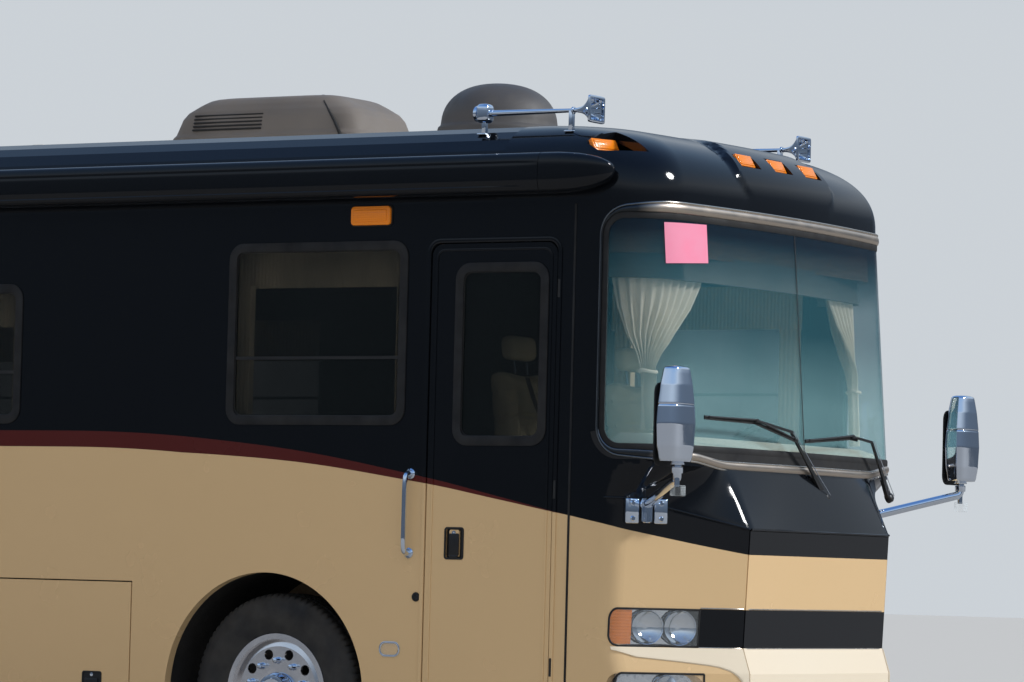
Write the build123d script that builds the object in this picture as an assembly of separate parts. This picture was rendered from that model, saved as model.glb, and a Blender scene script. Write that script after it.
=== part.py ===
from build123d import *
import os
from collections import namedtuple
from math import asin, cos, pi, radians, sin, sqrt, tan

# A rear-engined class A motorhome at full size, in millimetres.
# The nose faces -Y, +Z is up, and the origin is on the ground under the middle.
# The kerb side (entry door) is -X and the street side (driver) is +X.
KERB, STREET = -1, 1
SIDES = (KERB, STREET)

# Body shell
HALF_WIDTH = 1280
REAR_Y = 6090
WALL = 50
SKIRT_Z = 360
HEADER_Z = 3020
ROOF_Z = 3440
CAP_JOINT_Y = -5370
ROOF_JOINT_Y = -4900
REAR_JOINT_Y = 5780
SEAM = 7

# Nose: flat centre panel and two raked side facets
FACET_X = 748
FACET_ANGLE = 41.2
FACET_CORNER_R = 150
BUMPER_Y = -6118
BUMPER_LOW_Z = 460
BUMPER_HIGH_Z = 690
BUMPER_TUCK = 45
BAND_Y = -6076
BAND_LOW_Z = 817
CREASE_Y = -6102
CREASE_Z = 1405
CREASE_RISE = 140
SILL_Y = -6000
SILL_Z = 1710

# Windshield
HEADER_Y = -5900
GLASS_R = 7400
GLASS_CORNER_R = 320
REAR_CORNER_R = 140
SCREEN_LOW_Z = 1787
SCREEN_HIGH_Z = 2952
SCREEN_BACK_Y = -5535
SCREEN_R = 110
GLASS = 8
PANE_GAP = 6

# Roof edge: how far each side is drawn in at the top, along a rounded curve
DOME_FRONT = 900
DOME_SIDE = 470
DOME_REAR = 220
DOME_POWER = 2.5
DOME_STEPS = (0.25, 0.45, 0.63, 0.77, 0.88, 0.955, 1.0)

# Running gear
FRONT_AXLE_Y = -3550
REAR_AXLE_Y = 3100
TYRE_R = 515
TYRE_WIDTH = 280
BEAD_R = 286
BEAD_WIDTH = 228
FRONT_WHEEL_X = 1035
DUAL_IN_X = 735
DUAL_OUT_X = 1065
DUAL_DISC_X = (DUAL_IN_X + DUAL_OUT_X) / 2
KINGPIN_X = 880
KINGPIN_R = 24
HUB_R = 108
SPINDLE_R = 42
RIM = 9
DISC = 14
FLANGE_R = 306
HAND_HOLES = 10
HAND_HOLE_R = 27
HAND_HOLE_PCD = 410
ARCH_R = 620
LINER_GAP = 25
LINER = 15
LINER_IN_X = 500

# Chassis
RAIL_X = 392
RAIL_WIDTH = 80
RAIL_LOW_Z = 740
RAIL_HIGH_Z = 1000
RAIL_WEB = 12
RAIL_FRONT_Y = -5900
RAIL_REAR_Y = 5950
DECK_LOW_Z = 1080
DECK_HIGH_Z = 1140
CROSS_HALF = 1150
CROSS_WIDTH = 80
CROSS_YS = (-5750, -4400, -2750, -1500, -250, 1000, 2250, 3900, 4900, 5650)
BELLOWS_R = 100
BELLOWS_Y = 260

# Generator behind the nose panel, engine block at the back
GENSET = (-5800, -5150, 520, 960)
GENSET_HALF = 330
ENGINE = (4150, 5550, 430, 985)
ENGINE_HALF = 340

# Storage bays between the axles, one tray on each side of the frame
BAY_COUNT = 3
BAY_WIDTH = 1600
BAY_PITCH = 1670
BAY_LOW_Z = 400
BAY_HIGH_Z = 1066
TRAY_IN_X = 460
TRAY_WALL = 20
TRAY_JOINT = 0.5
DOOR_LOW_Z = 420

# Entry door on the kerb side
ENTRY_FRONT_Y = -5270
ENTRY_REAR_Y = -4530
ENTRY_LOW_Z = 430
ENTRY_HIGH_Z = 2812
ENTRY_R = 60
ENTRY_GLASS = (-5200, -4700, 1820, 2690)
STEP_IN_X = 640

# Side windows: side, front y, rear y, low z, high z
Window = namedtuple("Window", "side front_y rear_y low_z high_z")
WINDOWS = (
    Window(KERB, -4360, -3300, 1920, 2810),
    Window(KERB, -1900, -500, 1920, 2620),
    Window(KERB, 700, 1300, 1920, 2620),
    Window(KERB, 3600, 4500, 1920, 2620),
    Window(STREET, -5260, -4180, 1860, 2720),
    Window(STREET, 3000, 3900, 1920, 2620),
)
WINDOW_R = 70
PANE_INSET = 6
PANE = 8

# Slide-out room on the street side
SLIDE_FRONT_Y = -2700
SLIDE_REAR_Y = 1100
SLIDE_LOW_Z = 1180
SLIDE_HIGH_Z = 2860
SLIDE_DEPTH = 820
SLIDE_WALL = 40
SLIDE_WINDOWS = (
    Window(STREET, -2300, -1100, 1920, 2560),
    Window(STREET, -500, 700, 1920, 2560),
)
REST_GAP = 0.3

# Doors in the nose and tail
NOSE_DOOR_LOW_Z = 470
NOSE_DOOR_HALF = 744
TAIL_DOOR_HALF = 720
TAIL_DOOR_LOW_Z = 570
TAIL_DOOR_HIGH_Z = 1560
TAIL_LOUVRES = 9

# Lamps
LAMP_IN_X = 930
LAMP_LOW_Z = 824
LAMP_HIGH_Z = 1000
LAMP_END_R = 60
LAMP_END_Y = -5605
LENS = 6
FOG_IN_X = 930
FOG_LOW_Z = 560
FOG_HIGH_Z = 684
MARKER_SIZE = (165, 120, 55)
MARKER_Z = 3290
MARKER_PITCH = 334
CORNER_MARKER = (1135, -5415, 3310)

# Cab: dashboard section as (y, z), seats and curtains
DASH_SECTION = (
    (-6000, 1140),
    (-6000, 1790),
    (-5720, 1868),
    (-5560, 1872),
    (-5440, 1800),
    (-5410, 1560),
    (-5520, 1460),
    (-5520, 1140),
)
DASH_HALF = 1120
STEERING_CENTRE = (520, -5340, 1840)
SEAT_XS = (-620, 520)
SEAT_FRONT_Y = -5230
SEAT_REAR_Y = -4700
SEAT_LOW_Z = 1480
SEAT_HIGH_Z = 1640
SEAT_LEAN = 0.12
CABINET_Y = (-5800, -5400)
CABINET_Z = (2760, 2980)
CURTAIN_SET_BACK = 130
CURTAIN_THICK = 30
CURTAIN_IN_X = 760
CURTAIN_LOW_Z = 1880

# Roof equipment
DISH_Y = -4100
DISH_R = 330
DISH_SKIRT = 130
AIR_UNIT_YS = (-2765, 2300)
AIR_UNIT = (690, 1300, 295)
HORN_X = 1090
HORN_Y = -5326
HORN_Z = 3488
HORN_BELL = (150, 135)
HORN_LENGTH = 590
HORN_DRIVER = (84, 76, 100)

# Awning case along the kerb side of the roof
AWNING_FRONT_Y = -5600
AWNING_REAR_Y = 900
AWNING_LOW_Z = 3045
AWNING_HIGH_Z = 3255
AWNING_OUT = 150

# Mirrors
MIRROR_X = 1545
MIRROR_Y = -6120
MIRROR_LOW_Z = 1714
MIRROR_SEAM_Z = 1990
MIRROR_HIGH_Z = 2178
MIRROR_WIDTH = 236
MIRROR_DEPTH = 140
MIRROR_BRACKET = (180, 60, 122)
MIRROR_ROOT_Z = 1482

# Hitch receiver under the tail, as far behind the middle as the mirrors are ahead of it
HITCH_HALF = 32
HITCH_BORE_HALF = 25.8
HITCH_PIN_R = 8
HITCH_Z = 415
HITCH_LENGTH = 420
HITCH_END_Y = MIRROR_DEPTH / 2 - MIRROR_Y
HITCH_PIN_Y = HITCH_END_Y - 70
HITCH_NOTCH = 75

Level = namedtuple("Level", "centre_z side_z front_y faceted pull")


def dome_levels(roof_z):
    """Levels of the roof edge, from the header up to the flat top."""
    levels = []
    for share in DOME_STEPS:
        pull = 1 - (1 - share**DOME_POWER) ** (1 / DOME_POWER)
        z = HEADER_Z + share * (roof_z - HEADER_Z)
        levels.append(Level(z, z, HEADER_Y, False, pull))
    return levels


def body_levels(roof_z, bottom_z):
    """The heights at which the body's outline is drawn, bottom to top."""
    flat = [
        Level(bottom_z, bottom_z, BUMPER_Y + BUMPER_TUCK, True, 0),
        Level(BUMPER_LOW_Z, BUMPER_LOW_Z, BUMPER_Y, True, 0),
        Level(BUMPER_HIGH_Z, BUMPER_HIGH_Z, BUMPER_Y, True, 0),
        Level(BAND_LOW_Z, BAND_LOW_Z, BAND_Y, True, 0),
        Level(CREASE_Z, CREASE_Z + CREASE_RISE, CREASE_Y, True, 0),
        Level(SILL_Z, SILL_Z, SILL_Y, False, 0),
        Level(HEADER_Z, HEADER_Z, HEADER_Y, False, 0),
    ]
    return flat + dome_levels(roof_z)


def faceted_nose(front, half, inset):
    """Half outline of the nose: split, facet end, corner middle, side start."""
    angle = radians(FACET_ANGLE)
    corner_x = half - FACET_CORNER_R
    reach = FACET_CORNER_R + sin(angle) * (corner_x - FACET_X)
    corner_y = front + reach / cos(angle)
    r = FACET_CORNER_R - inset
    turn = pi / 2 - angle
    return {
        "split": (FACET_X - inset * tan(angle / 2), front + inset),
        "end": (corner_x + r * cos(turn), corner_y - r * sin(turn)),
        "corner": (corner_x + r * cos(turn / 2), corner_y - r * sin(turn / 2)),
        "side": (half - inset, corner_y),
    }


def curved_nose(front, half, inset):
    """Half outline at the windshield: a wide arc with a tight corner arc."""
    corner_x = half - GLASS_CORNER_R
    centre_y = front + GLASS_R
    corner_y = centre_y - sqrt((GLASS_R - GLASS_CORNER_R) ** 2 - corner_x**2)
    end = asin(corner_x / (GLASS_R - GLASS_CORNER_R))
    full = asin((HALF_WIDTH - GLASS_CORNER_R) / (GLASS_R - GLASS_CORNER_R))
    split = end * asin(FACET_X / GLASS_R) / full
    big, r = GLASS_R - inset, GLASS_CORNER_R - inset
    turn = pi / 2 - end
    between = (split + end) / 2
    return {
        "middle": (0, front + inset),
        "split": (big * sin(split), centre_y - big * cos(split)),
        "between": (big * sin(between), centre_y - big * cos(between)),
        "end": (big * sin(end), centre_y - big * cos(end)),
        "corner": (corner_x + r * cos(turn / 2), corner_y - r * sin(turn / 2)),
        "side": (half - inset, corner_y),
    }


def outline(level, inset):
    """One closed outline of the body, drawn in by the inset."""
    half = HALF_WIDTH - DOME_SIDE * level.pull
    front = level.front_y + DOME_FRONT * level.pull
    rear = REAR_Y - DOME_REAR * level.pull
    nose = faceted_nose(front, half, inset) if level.faceted else curved_nose(front, half, inset)
    bend = (REAR_CORNER_R - inset) * sin(pi / 4)
    tail = {
        "side": (half - inset, rear - REAR_CORNER_R),
        "corner": (half - REAR_CORNER_R + bend, rear - REAR_CORNER_R + bend),
        "end": (half - REAR_CORNER_R, rear - inset),
    }

    def at(place, side, z):
        return (side * place[0], place[1], z)

    edges = [Line(at(tail["end"], STREET, level.side_z), at(tail["end"], KERB, level.side_z))]
    for side in (KERB, STREET):
        z = level.side_z
        corner = [at(tail[name], side, z) for name in ("end", "corner", "side")]
        wall = Line(at(tail["side"], side, z), at(nose["side"], side, z))
        turn = [at(nose[name], side, z) for name in ("side", "corner", "end")]
        last = at(nose["split"], side, level.centre_z)
        if level.faceted:
            facet = Line(turn[2], last)
        else:
            facet = ThreePointArc(turn[2], at(nose["between"], side, z), last)
        half_ring = [ThreePointArc(*corner), wall, ThreePointArc(*turn), facet]
        if side == KERB:
            edges += half_ring
            first, second = last, at(nose["split"], STREET, level.centre_z)
            if level.faceted:
                edges.append(Line(first, second))
            else:
                edges.append(ThreePointArc(first, at(nose["middle"], 1, level.centre_z), second))
        else:
            edges += half_ring[::-1]
    return Wire([edge if isinstance(edge, Edge) else edge.edge() for edge in edges])


def body_solid(inset, bottom_z=SKIRT_Z):
    """The whole body as one solid, drawn in by the inset on every side but the bottom."""
    wires = [outline(level, inset) for level in body_levels(ROOF_Z - inset, bottom_z)]
    return Part() + Solid.make_loft(wires, ruled=True)


def block(x, y, z):
    """A box between two values on each axis."""
    size = [high - low for low, high in (x, y, z)]
    centre = [(high + low) / 2 for low, high in (x, y, z)]
    return Pos(*centre) * Box(*size)


def rod(start, end, radius, end_radius=None):
    """A round bar between two points, tapered when an end radius is given."""
    a, b = Vector(*start), Vector(*end)
    plane = Plane(origin=a, z_dir=b - a)
    length = (b - a).length
    if end_radius is None:
        return extrude(plane * Circle(radius), length)
    return loft([plane * Circle(radius), plane.offset(length) * Circle(end_radius)])


def turned(points, centre):
    """A ring turned about an axle: points are (along x, radius)."""
    y, z = centre
    profile = make_face(Polyline(*[(x, r) for x, r in points], close=True))
    return Pos(0, y, z) * revolve(profile, Axis.X)


def side_plate(side, y, z, depth, radius=0.0, out=0.0):
    """A rounded plate in the side wall, from the outer face inwards."""
    plane = Plane(
        origin=(side * (HALF_WIDTH + out), sum(y) / 2, sum(z) / 2),
        x_dir=(0, 1, 0),
        z_dir=(side, 0, 0),
    )
    width, height = y[1] - y[0], z[1] - z[0]
    shape = RectangleRounded(width, height, radius) if radius else Rectangle(width, height)
    return extrude(plane * shape, -depth)


def front_plate(x, z, y, radius=0.0):
    """A rounded plate facing forward, between two depths."""
    plane = Plane(origin=(sum(x) / 2, y[0], sum(z) / 2), x_dir=(1, 0, 0), z_dir=(0, -1, 0))
    width, height = x[1] - x[0], z[1] - z[0]
    shape = RectangleRounded(width, height, radius) if radius else Rectangle(width, height)
    return extrude(plane * shape, -(y[1] - y[0]))


def grown(low_high, by):
    """A pair of limits moved apart, or together when the amount is negative."""
    return (low_high[0] - by, low_high[1] + by)


def both_sides(piece):
    """A piece and its mirror image across the centre plane."""
    return piece + mirror(piece, about=Plane.YZ)


def bay_spans():
    """Front and rear edge of each storage bay door, front to rear."""
    middle = (FRONT_AXLE_Y + REAR_AXLE_Y) / 2
    first = middle - BAY_PITCH * (BAY_COUNT - 1) / 2
    return [
        (first + BAY_PITCH * i - BAY_WIDTH / 2, first + BAY_PITCH * i + BAY_WIDTH / 2)
        for i in range(BAY_COUNT)
    ]


def well(axle_y, reach):
    """The arched space of a wheel well in the side view, as a solid across the body."""
    across = 2 * (HALF_WIDTH + WALL)
    arch = Pos(0, axle_y, TYRE_R) * Rot(0, 90, 0) * Cylinder(reach, across)
    legs = block((-across / 2, across / 2), (axle_y - reach, axle_y + reach), (0, TYRE_R))
    return arch + legs


def screen_opening(shrink=0.0):
    """The windshield opening, cut across the whole nose."""
    front = BUMPER_Y - WALL
    y = (front, SCREEN_BACK_Y - shrink)
    z = grown((SCREEN_LOW_Z, SCREEN_HIGH_Z), -shrink)
    plane = Plane(origin=(-HALF_WIDTH - WALL, sum(y) / 2, sum(z) / 2), x_dir=(0, 1, 0), z_dir=(1, 0, 0))
    shape = RectangleRounded(y[1] - y[0], z[1] - z[0], SCREEN_R)
    return extrude(plane * shape, 2 * (HALF_WIDTH + WALL))


def lamp_opening(side, low_z, high_z, inner_x, grow=0.0):
    """The outline of a lamp in the side facet, seen from the front."""
    x = sorted((side * (inner_x - grow), side * (HALF_WIDTH + WALL)))
    corner = max(LAMP_END_R + grow, 1)
    y = (BUMPER_Y - WALL, LAMP_END_Y + grow)
    z = grown((low_z, high_z), grow)
    plane = Plane(origin=(x[0], sum(y) / 2, sum(z) / 2), x_dir=(0, 1, 0), z_dir=(1, 0, 0))
    rounded_end = extrude(plane * RectangleRounded(y[1] - y[0], z[1] - z[0], corner), x[1] - x[0])
    return front_plate(x, z, y, corner) & rounded_end


def make_body():
    """Caps, side walls and roof, cut from one shell at the real panel joints."""
    outer = body_solid(0)
    inner = body_solid(WALL, SKIRT_Z - WALL)
    shell = outer - inner
    far = HALF_WIDTH + WALL
    front = (BUMPER_Y - WALL, CAP_JOINT_Y)
    upper_nose = block((-far, far), front, (CREASE_Z, HEADER_Z))
    brow = block((-far, far), (BUMPER_Y, ROOF_JOINT_Y), (HEADER_Z, ROOF_Z + WALL))
    parts = {}
    parts["front_cap"] = shell & (upper_nose + brow)
    parts["front_cap"] -= screen_opening()
    parts["front_fascia"] = shell & block((-far, far), front, (SKIRT_Z, CREASE_Z))
    middle = (CAP_JOINT_Y, REAR_JOINT_Y)
    for side, name in ((KERB, "side_wall_kerb"), (STREET, "side_wall_street")):
        x = sorted((side * (HALF_WIDTH - WALL), side * far))
        parts[name] = shell & block(x, middle, (SKIRT_Z, HEADER_Z))
    roof_y = (ROOF_JOINT_Y, REAR_JOINT_Y)
    parts["roof"] = shell & block((-far, far), roof_y, (HEADER_Z, ROOF_Z + WALL))
    rear = (REAR_JOINT_Y, REAR_Y + WALL)
    parts["rear_cap"] = shell & block((-far, far), rear, (SKIRT_Z, ROOF_Z + WALL))
    return outer, inner, parts


def make_windshield(outer):
    """Two curved panes that fill the opening from its rim to the centre joint."""
    sheet = (outer - body_solid(GLASS)) & screen_opening()
    return sheet - block((-PANE_GAP / 2, PANE_GAP / 2), (BUMPER_Y, CAP_JOINT_Y), (0, ROOF_Z))


def cut_side_walls(parts):
    """Windows, doorway, wheel arches, bays and the slide-out opening in the side walls."""
    names = {KERB: "side_wall_kerb", STREET: "side_wall_street"}
    deep = WALL + 2
    for window in WINDOWS:
        hole = side_plate(
            window.side,
            (window.front_y, window.rear_y),
            (window.low_z, window.high_z),
            deep,
            WINDOW_R,
            1,
        )
        parts[names[window.side]] -= hole
    for side in SIDES:
        wall = parts[names[side]]
        for axle_y in (FRONT_AXLE_Y, REAR_AXLE_Y):
            wall -= well(axle_y, ARCH_R)
        for y in bay_spans():
            wall -= side_plate(side, grown(y, SEAM), grown((DOOR_LOW_Z, BAY_HIGH_Z), SEAM), deep, 0, 1)
        parts[names[side]] = wall
    entry = side_plate(
        KERB,
        grown((ENTRY_FRONT_Y, ENTRY_REAR_Y), SEAM),
        grown((ENTRY_LOW_Z, ENTRY_HIGH_Z), SEAM),
        deep,
        ENTRY_R + SEAM,
        1,
    )
    parts["side_wall_kerb"] -= entry
    slide = side_plate(
        STREET,
        grown((SLIDE_FRONT_Y, SLIDE_REAR_Y), SEAM),
        grown((SLIDE_LOW_Z, SLIDE_HIGH_Z), SEAM),
        deep,
        0,
        1,
    )
    parts["side_wall_street"] -= slide


def pane(window, out=0.0):
    """The glass of a side window, filling its hole."""
    y = (window.front_y, window.rear_y)
    z = (window.low_z, window.high_z)
    return side_plate(window.side, y, z, PANE, WINDOW_R, out - PANE_INSET)


def make_side_windows():
    glass = Part()
    for window in WINDOWS:
        glass += pane(window)
    return glass


def make_entry_door():
    """The entry door with its window cut and a pull handle in a recess."""
    y, z = (ENTRY_FRONT_Y, ENTRY_REAR_Y), (ENTRY_LOW_Z, ENTRY_HIGH_Z)
    leaf = side_plate(KERB, y, z, WALL, ENTRY_R)
    glass_y, glass_z = ENTRY_GLASS[:2], ENTRY_GLASS[2:]
    leaf -= side_plate(KERB, glass_y, glass_z, WALL + 2, WINDOW_R, 1)
    handle_y, handle_z = (-4755, -4645), (1225, 1382)
    leaf -= side_plate(KERB, handle_y, handle_z, 24, 18, 1)
    paddle = side_plate(KERB, grown(handle_y, -26), grown(handle_z, -10), 26, 10)
    glass = side_plate(KERB, glass_y, glass_z, PANE, WINDOW_R, -PANE_INSET)
    return leaf + paddle, glass


def make_bay_doors():
    """Side-hinged doors of the storage bays, three on each side."""
    doors = {}
    for side, side_name in ((KERB, "kerb"), (STREET, "street")):
        for i, y in enumerate(bay_spans()):
            leaf = side_plate(side, y, (DOOR_LOW_Z, BAY_HIGH_Z), WALL)
            lip = (DOOR_LOW_Z + 52, DOOR_LOW_Z + 76)
            latch_y = (y[1] - 260, y[1] - 140)
            leaf -= side_plate(side, latch_y, lip, 14, 10, 1)
            doors[f"bay_door_{side_name}_{i + 1}"] = leaf
    return doors


def make_slide_room():
    """The slide-out room: outer wall with windows, floor, ceiling and end walls."""
    y, z = (SLIDE_FRONT_Y, SLIDE_REAR_Y), (SLIDE_LOW_Z, SLIDE_HIGH_Z)
    room = side_plate(STREET, y, z, SLIDE_DEPTH)
    hollow = grown(y, -SLIDE_WALL), grown(z, -SLIDE_WALL)
    room -= side_plate(STREET, *hollow, SLIDE_DEPTH, 0, -WALL)
    glass = Part()
    for window in SLIDE_WINDOWS:
        hole_y, hole_z = (window.front_y, window.rear_y), (window.low_z, window.high_z)
        room -= side_plate(STREET, hole_y, hole_z, WALL + 2, WINDOW_R, 1)
        glass += pane(window)
    return room, glass


def make_nose(outer, inner, fascia):
    """Lamp openings in the fascia, the lamps that fill them and the nose door."""
    door_z = (NOSE_DOOR_LOW_Z, CREASE_Z - SEAM)
    hole = block(
        (-NOSE_DOOR_HALF - SEAM, NOSE_DOOR_HALF + SEAM),
        (BUMPER_Y - WALL, CAP_JOINT_Y),
        (NOSE_DOOR_LOW_Z - SEAM, CREASE_Z + 1),
    )
    leaf_space = block((-NOSE_DOOR_HALF, NOSE_DOOR_HALF), (BUMPER_Y - WALL, CAP_JOINT_Y), door_z)
    door = (outer - inner) & leaf_space
    fascia -= hole
    skin = outer - body_solid(LENS)
    behind = body_solid(LENS) - inner
    lenses, bowls = Part(), Part()
    for side in SIDES:
        for low_z, high_z, inner_x in (
            (LAMP_LOW_Z, LAMP_HIGH_Z, LAMP_IN_X),
            (FOG_LOW_Z, FOG_HIGH_Z, FOG_IN_X),
        ):
            opening = lamp_opening(side, low_z, high_z, inner_x)
            fascia -= opening
            lenses += skin & opening
            bowls += behind & opening
    return fascia, door, lenses, bowls


def lamp_cups():
    """Round reflectors sunk in the lamp bowls, two in each headlamp and one in each fog lamp."""
    cups = Part()
    angle = radians(FACET_ANGLE)
    outward = Vector(sin(angle), -cos(angle), 0)
    along = Vector(cos(angle), sin(angle), 0)
    start = Vector(FACET_X, BAND_Y, 0)
    lamp_z = (LAMP_LOW_Z + LAMP_HIGH_Z) / 2
    fog_z = (FOG_LOW_Z + FOG_HIGH_Z) / 2
    for reach, z, radius in ((335, lamp_z, 78), (505, lamp_z, 78), (430, fog_z, 48)):
        face = start + along * reach + Vector(0, 0, z)
        if z == fog_z:
            face += Vector(0, BUMPER_Y - BAND_Y, 0)
        plane = Plane(origin=face + outward * -LENS, z_dir=-outward)
        cup = loft([plane * Circle(radius), plane.offset(32) * Circle(radius * 0.45)])
        cups += cup
    return both_sides(cups)


def make_rear(outer, inner, cap):
    """The engine door with its louvres, and the tail lamps let into the rear cap."""
    y = (REAR_JOINT_Y + REAR_CORNER_R, REAR_Y + WALL)
    space = (-TAIL_DOOR_HALF, TAIL_DOOR_HALF), y, (TAIL_DOOR_LOW_Z, TAIL_DOOR_HIGH_Z)
    door = (outer - inner) & block(*space)
    cap -= block(grown(space[0], SEAM), y, grown(space[2], SEAM))
    slot, pitch = 34, 70
    for i in range(TAIL_LOUVRES):
        z = TAIL_DOOR_LOW_Z + 160 + i * pitch
        door -= block((-460, 460), (REAR_Y - WALL - 1, REAR_Y + 1), (z, z + slot))
    lamps = Part()
    for side in SIDES:
        for low_z, high_z in ((1120, 1420), (700, 800)):
            x = sorted((side * 860, side * 1080))
            pocket = block(x, (REAR_Y - 30, REAR_Y + WALL), (low_z, high_z))
            lamps += outer & pocket
            cap -= pocket
    cap -= block((-HITCH_NOTCH, HITCH_NOTCH), y, (0, HITCH_Z + HITCH_NOTCH))
    return cap, door, lamps


def make_deck(inner):
    """Floor deck on joists inside the shell, with the step well and wheel housings cut out."""
    deck = inner & block(
        (-HALF_WIDTH, HALF_WIDTH), (BUMPER_Y, REAR_Y), (DECK_LOW_Z, DECK_HIGH_Z)
    )
    for y in CROSS_YS:
        span = (y - CROSS_WIDTH / 2, y + CROSS_WIDTH / 2)
        deck += inner & block((-CROSS_HALF, CROSS_HALF), span, (RAIL_HIGH_Z, DECK_LOW_Z))
    step_y = (ENTRY_FRONT_Y, ENTRY_REAR_Y)
    deck -= block((-HALF_WIDTH, -STEP_IN_X), step_y, (0, ROOF_Z))
    for axle_y in (FRONT_AXLE_Y, REAR_AXLE_Y):
        for side in SIDES:
            x = sorted((side * LINER_IN_X, side * HALF_WIDTH))
            reach = ARCH_R + LINER_GAP + LINER
            deck -= well(axle_y, reach) & block(x, (axle_y - reach, axle_y + reach), (0, ROOF_Z))
    return deck


def make_slide_runners():
    """Two runners on the deck that carry the slide-out room."""
    runners = Part()
    for y in (SLIDE_FRONT_Y + 500, SLIDE_REAR_Y - 500):
        runners += block(
            (HALF_WIDTH - WALL - 560, HALF_WIDTH - WALL),
            (y - 60, y + 60),
            (DECK_HIGH_Z, SLIDE_LOW_Z - REST_GAP),
        )
    return runners


def make_steps():
    """Entry steps in a well beside the door."""
    low_tread, high_tread, riser_x = 560, 860, -960
    y = (ENTRY_FRONT_Y, ENTRY_REAR_Y)
    inside = HALF_WIDTH - WALL
    steps = block((-inside, -STEP_IN_X), y, (low_tread - 20, low_tread))
    steps += block((riser_x, -STEP_IN_X), y, (low_tread, high_tread))
    steps += block((-STEP_IN_X - 20, -STEP_IN_X), y, (high_tread, DECK_HIGH_Z))
    return steps


def make_wheel_housings():
    """Arched liners over the wheels, from the frame to the side walls."""
    reach = ARCH_R + LINER_GAP
    liners = Part()
    for axle_y in (FRONT_AXLE_Y, REAR_AXLE_Y):
        shape = well(axle_y, reach + LINER) - well(axle_y, reach)
        span = (axle_y - reach - LINER, axle_y + reach + LINER)
        for side in SIDES:
            x = sorted((side * LINER_IN_X, side * (HALF_WIDTH - WALL)))
            liners += shape & block(x, span, (SKIRT_Z + 20, TYRE_R + 2 * ARCH_R))
    return liners


def make_trays():
    """Storage trays hung under the joists, one behind each bay door, each of four plates."""
    trays = Part()
    inner_x = TRAY_IN_X + TRAY_WALL
    for side in SIDES:
        full_x = sorted((side * TRAY_IN_X, side * (HALF_WIDTH - WALL)))
        back_x = sorted((side * TRAY_IN_X, side * inner_x))
        end_x = sorted((side * (inner_x + TRAY_JOINT), side * (HALF_WIDTH - WALL)))
        for y in bay_spans():
            wall_z = (BAY_LOW_Z, RAIL_HIGH_Z)
            trays += block(full_x, y, (BAY_LOW_Z - TRAY_WALL, BAY_LOW_Z - TRAY_JOINT))
            trays += block(back_x, y, wall_z)
            trays += block(end_x, (y[0], y[0] + TRAY_WALL), wall_z)
            trays += block(end_x, (y[1] - TRAY_WALL, y[1]), wall_z)
    return trays


def make_frame():
    """Two channel rails joined by cross members."""
    frame = Part()
    web = RAIL_X + RAIL_WIDTH / 2 - RAIL_WEB
    for side in SIDES:
        x = sorted((side * (RAIL_X - RAIL_WIDTH / 2), side * (RAIL_X + RAIL_WIDTH / 2)))
        rail = block(x, (RAIL_FRONT_Y, RAIL_REAR_Y), (RAIL_LOW_Z, RAIL_HIGH_Z))
        inside = sorted((side * (RAIL_X - RAIL_WIDTH), side * web))
        rail -= block(
            inside, (RAIL_FRONT_Y - 1, RAIL_REAR_Y + 1), grown((RAIL_LOW_Z, RAIL_HIGH_Z), -RAIL_WEB)
        )
        frame += rail
    for y in CROSS_YS:
        if not GENSET[0] - CROSS_WIDTH < y < GENSET[1] and not ENGINE[0] < y < ENGINE[1]:
            span = (y - CROSS_WIDTH / 2, y + CROSS_WIDTH / 2)
            frame += block((-web, web), span, (RAIL_HIGH_Z - 120, RAIL_HIGH_Z - RAIL_WEB))
    return frame


def make_cradle():
    """The tray that hangs the generator between the rails."""
    low, high = GENSET[2] - 14, RAIL_LOW_Z
    outer_x = GENSET_HALF + 30
    cradle = block((-outer_x, outer_x), (GENSET[0], GENSET[1]), (low, GENSET[2]))
    for side in SIDES:
        x = sorted((side * (outer_x - 12), side * outer_x))
        cradle += block(x, (GENSET[0], GENSET[1]), (low, high))
    return cradle


def make_hitch():
    """Square hitch receiver under the tail with its cross pin hole and side plates."""
    y = (HITCH_END_Y - HITCH_LENGTH, HITCH_END_Y)
    z = (HITCH_Z - HITCH_HALF, HITCH_Z + HITCH_HALF)
    hitch = block((-HITCH_HALF, HITCH_HALF), y, z)
    beam = block((-RAIL_X, RAIL_X), (y[0], y[0] + 90), (HITCH_Z - 45, HITCH_Z + 45))
    hitch += beam
    for side in SIDES:
        x = sorted((side * (RAIL_X - 14), side * RAIL_X))
        hitch += block(x, (y[0], y[0] + 90), (HITCH_Z - 45, RAIL_LOW_Z))
    bore = HITCH_BORE_HALF
    hitch -= block((-bore, bore), (y[0] - 1, y[1] + 1), (HITCH_Z - bore, HITCH_Z + bore))
    hitch -= rod((-HITCH_HALF - 1, HITCH_PIN_Y, HITCH_Z), (HITCH_HALF + 1, HITCH_PIN_Y, HITCH_Z), HITCH_PIN_R)
    return hitch


def make_power():
    """Engine block with gearbox and exhaust behind the axle, and the generator in the nose."""
    engine = block((-ENGINE_HALF, ENGINE_HALF), ENGINE[:2], ENGINE[2:])
    gearbox_y = (ENGINE[0] - 420, ENGINE[0])
    engine += block((-190, 190), gearbox_y, (480, 880))
    shaft_front = REAR_AXLE_Y + 235
    engine += rod((0, gearbox_y[0] + 5, TYRE_R + 60), (0, shaft_front, TYRE_R + 60), 55)
    pipe_x, pipe_z = 560, 430
    engine += rod((ENGINE_HALF - 10, 5200, pipe_z + 60), (pipe_x + 40, 5200, pipe_z + 60), 50)
    engine += rod((pipe_x, 5100, pipe_z + 60), (pipe_x, REAR_Y - 90, pipe_z + 60), 60)
    generator = block((-GENSET_HALF, GENSET_HALF), GENSET[:2], GENSET[2:])
    return engine, generator


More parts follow.
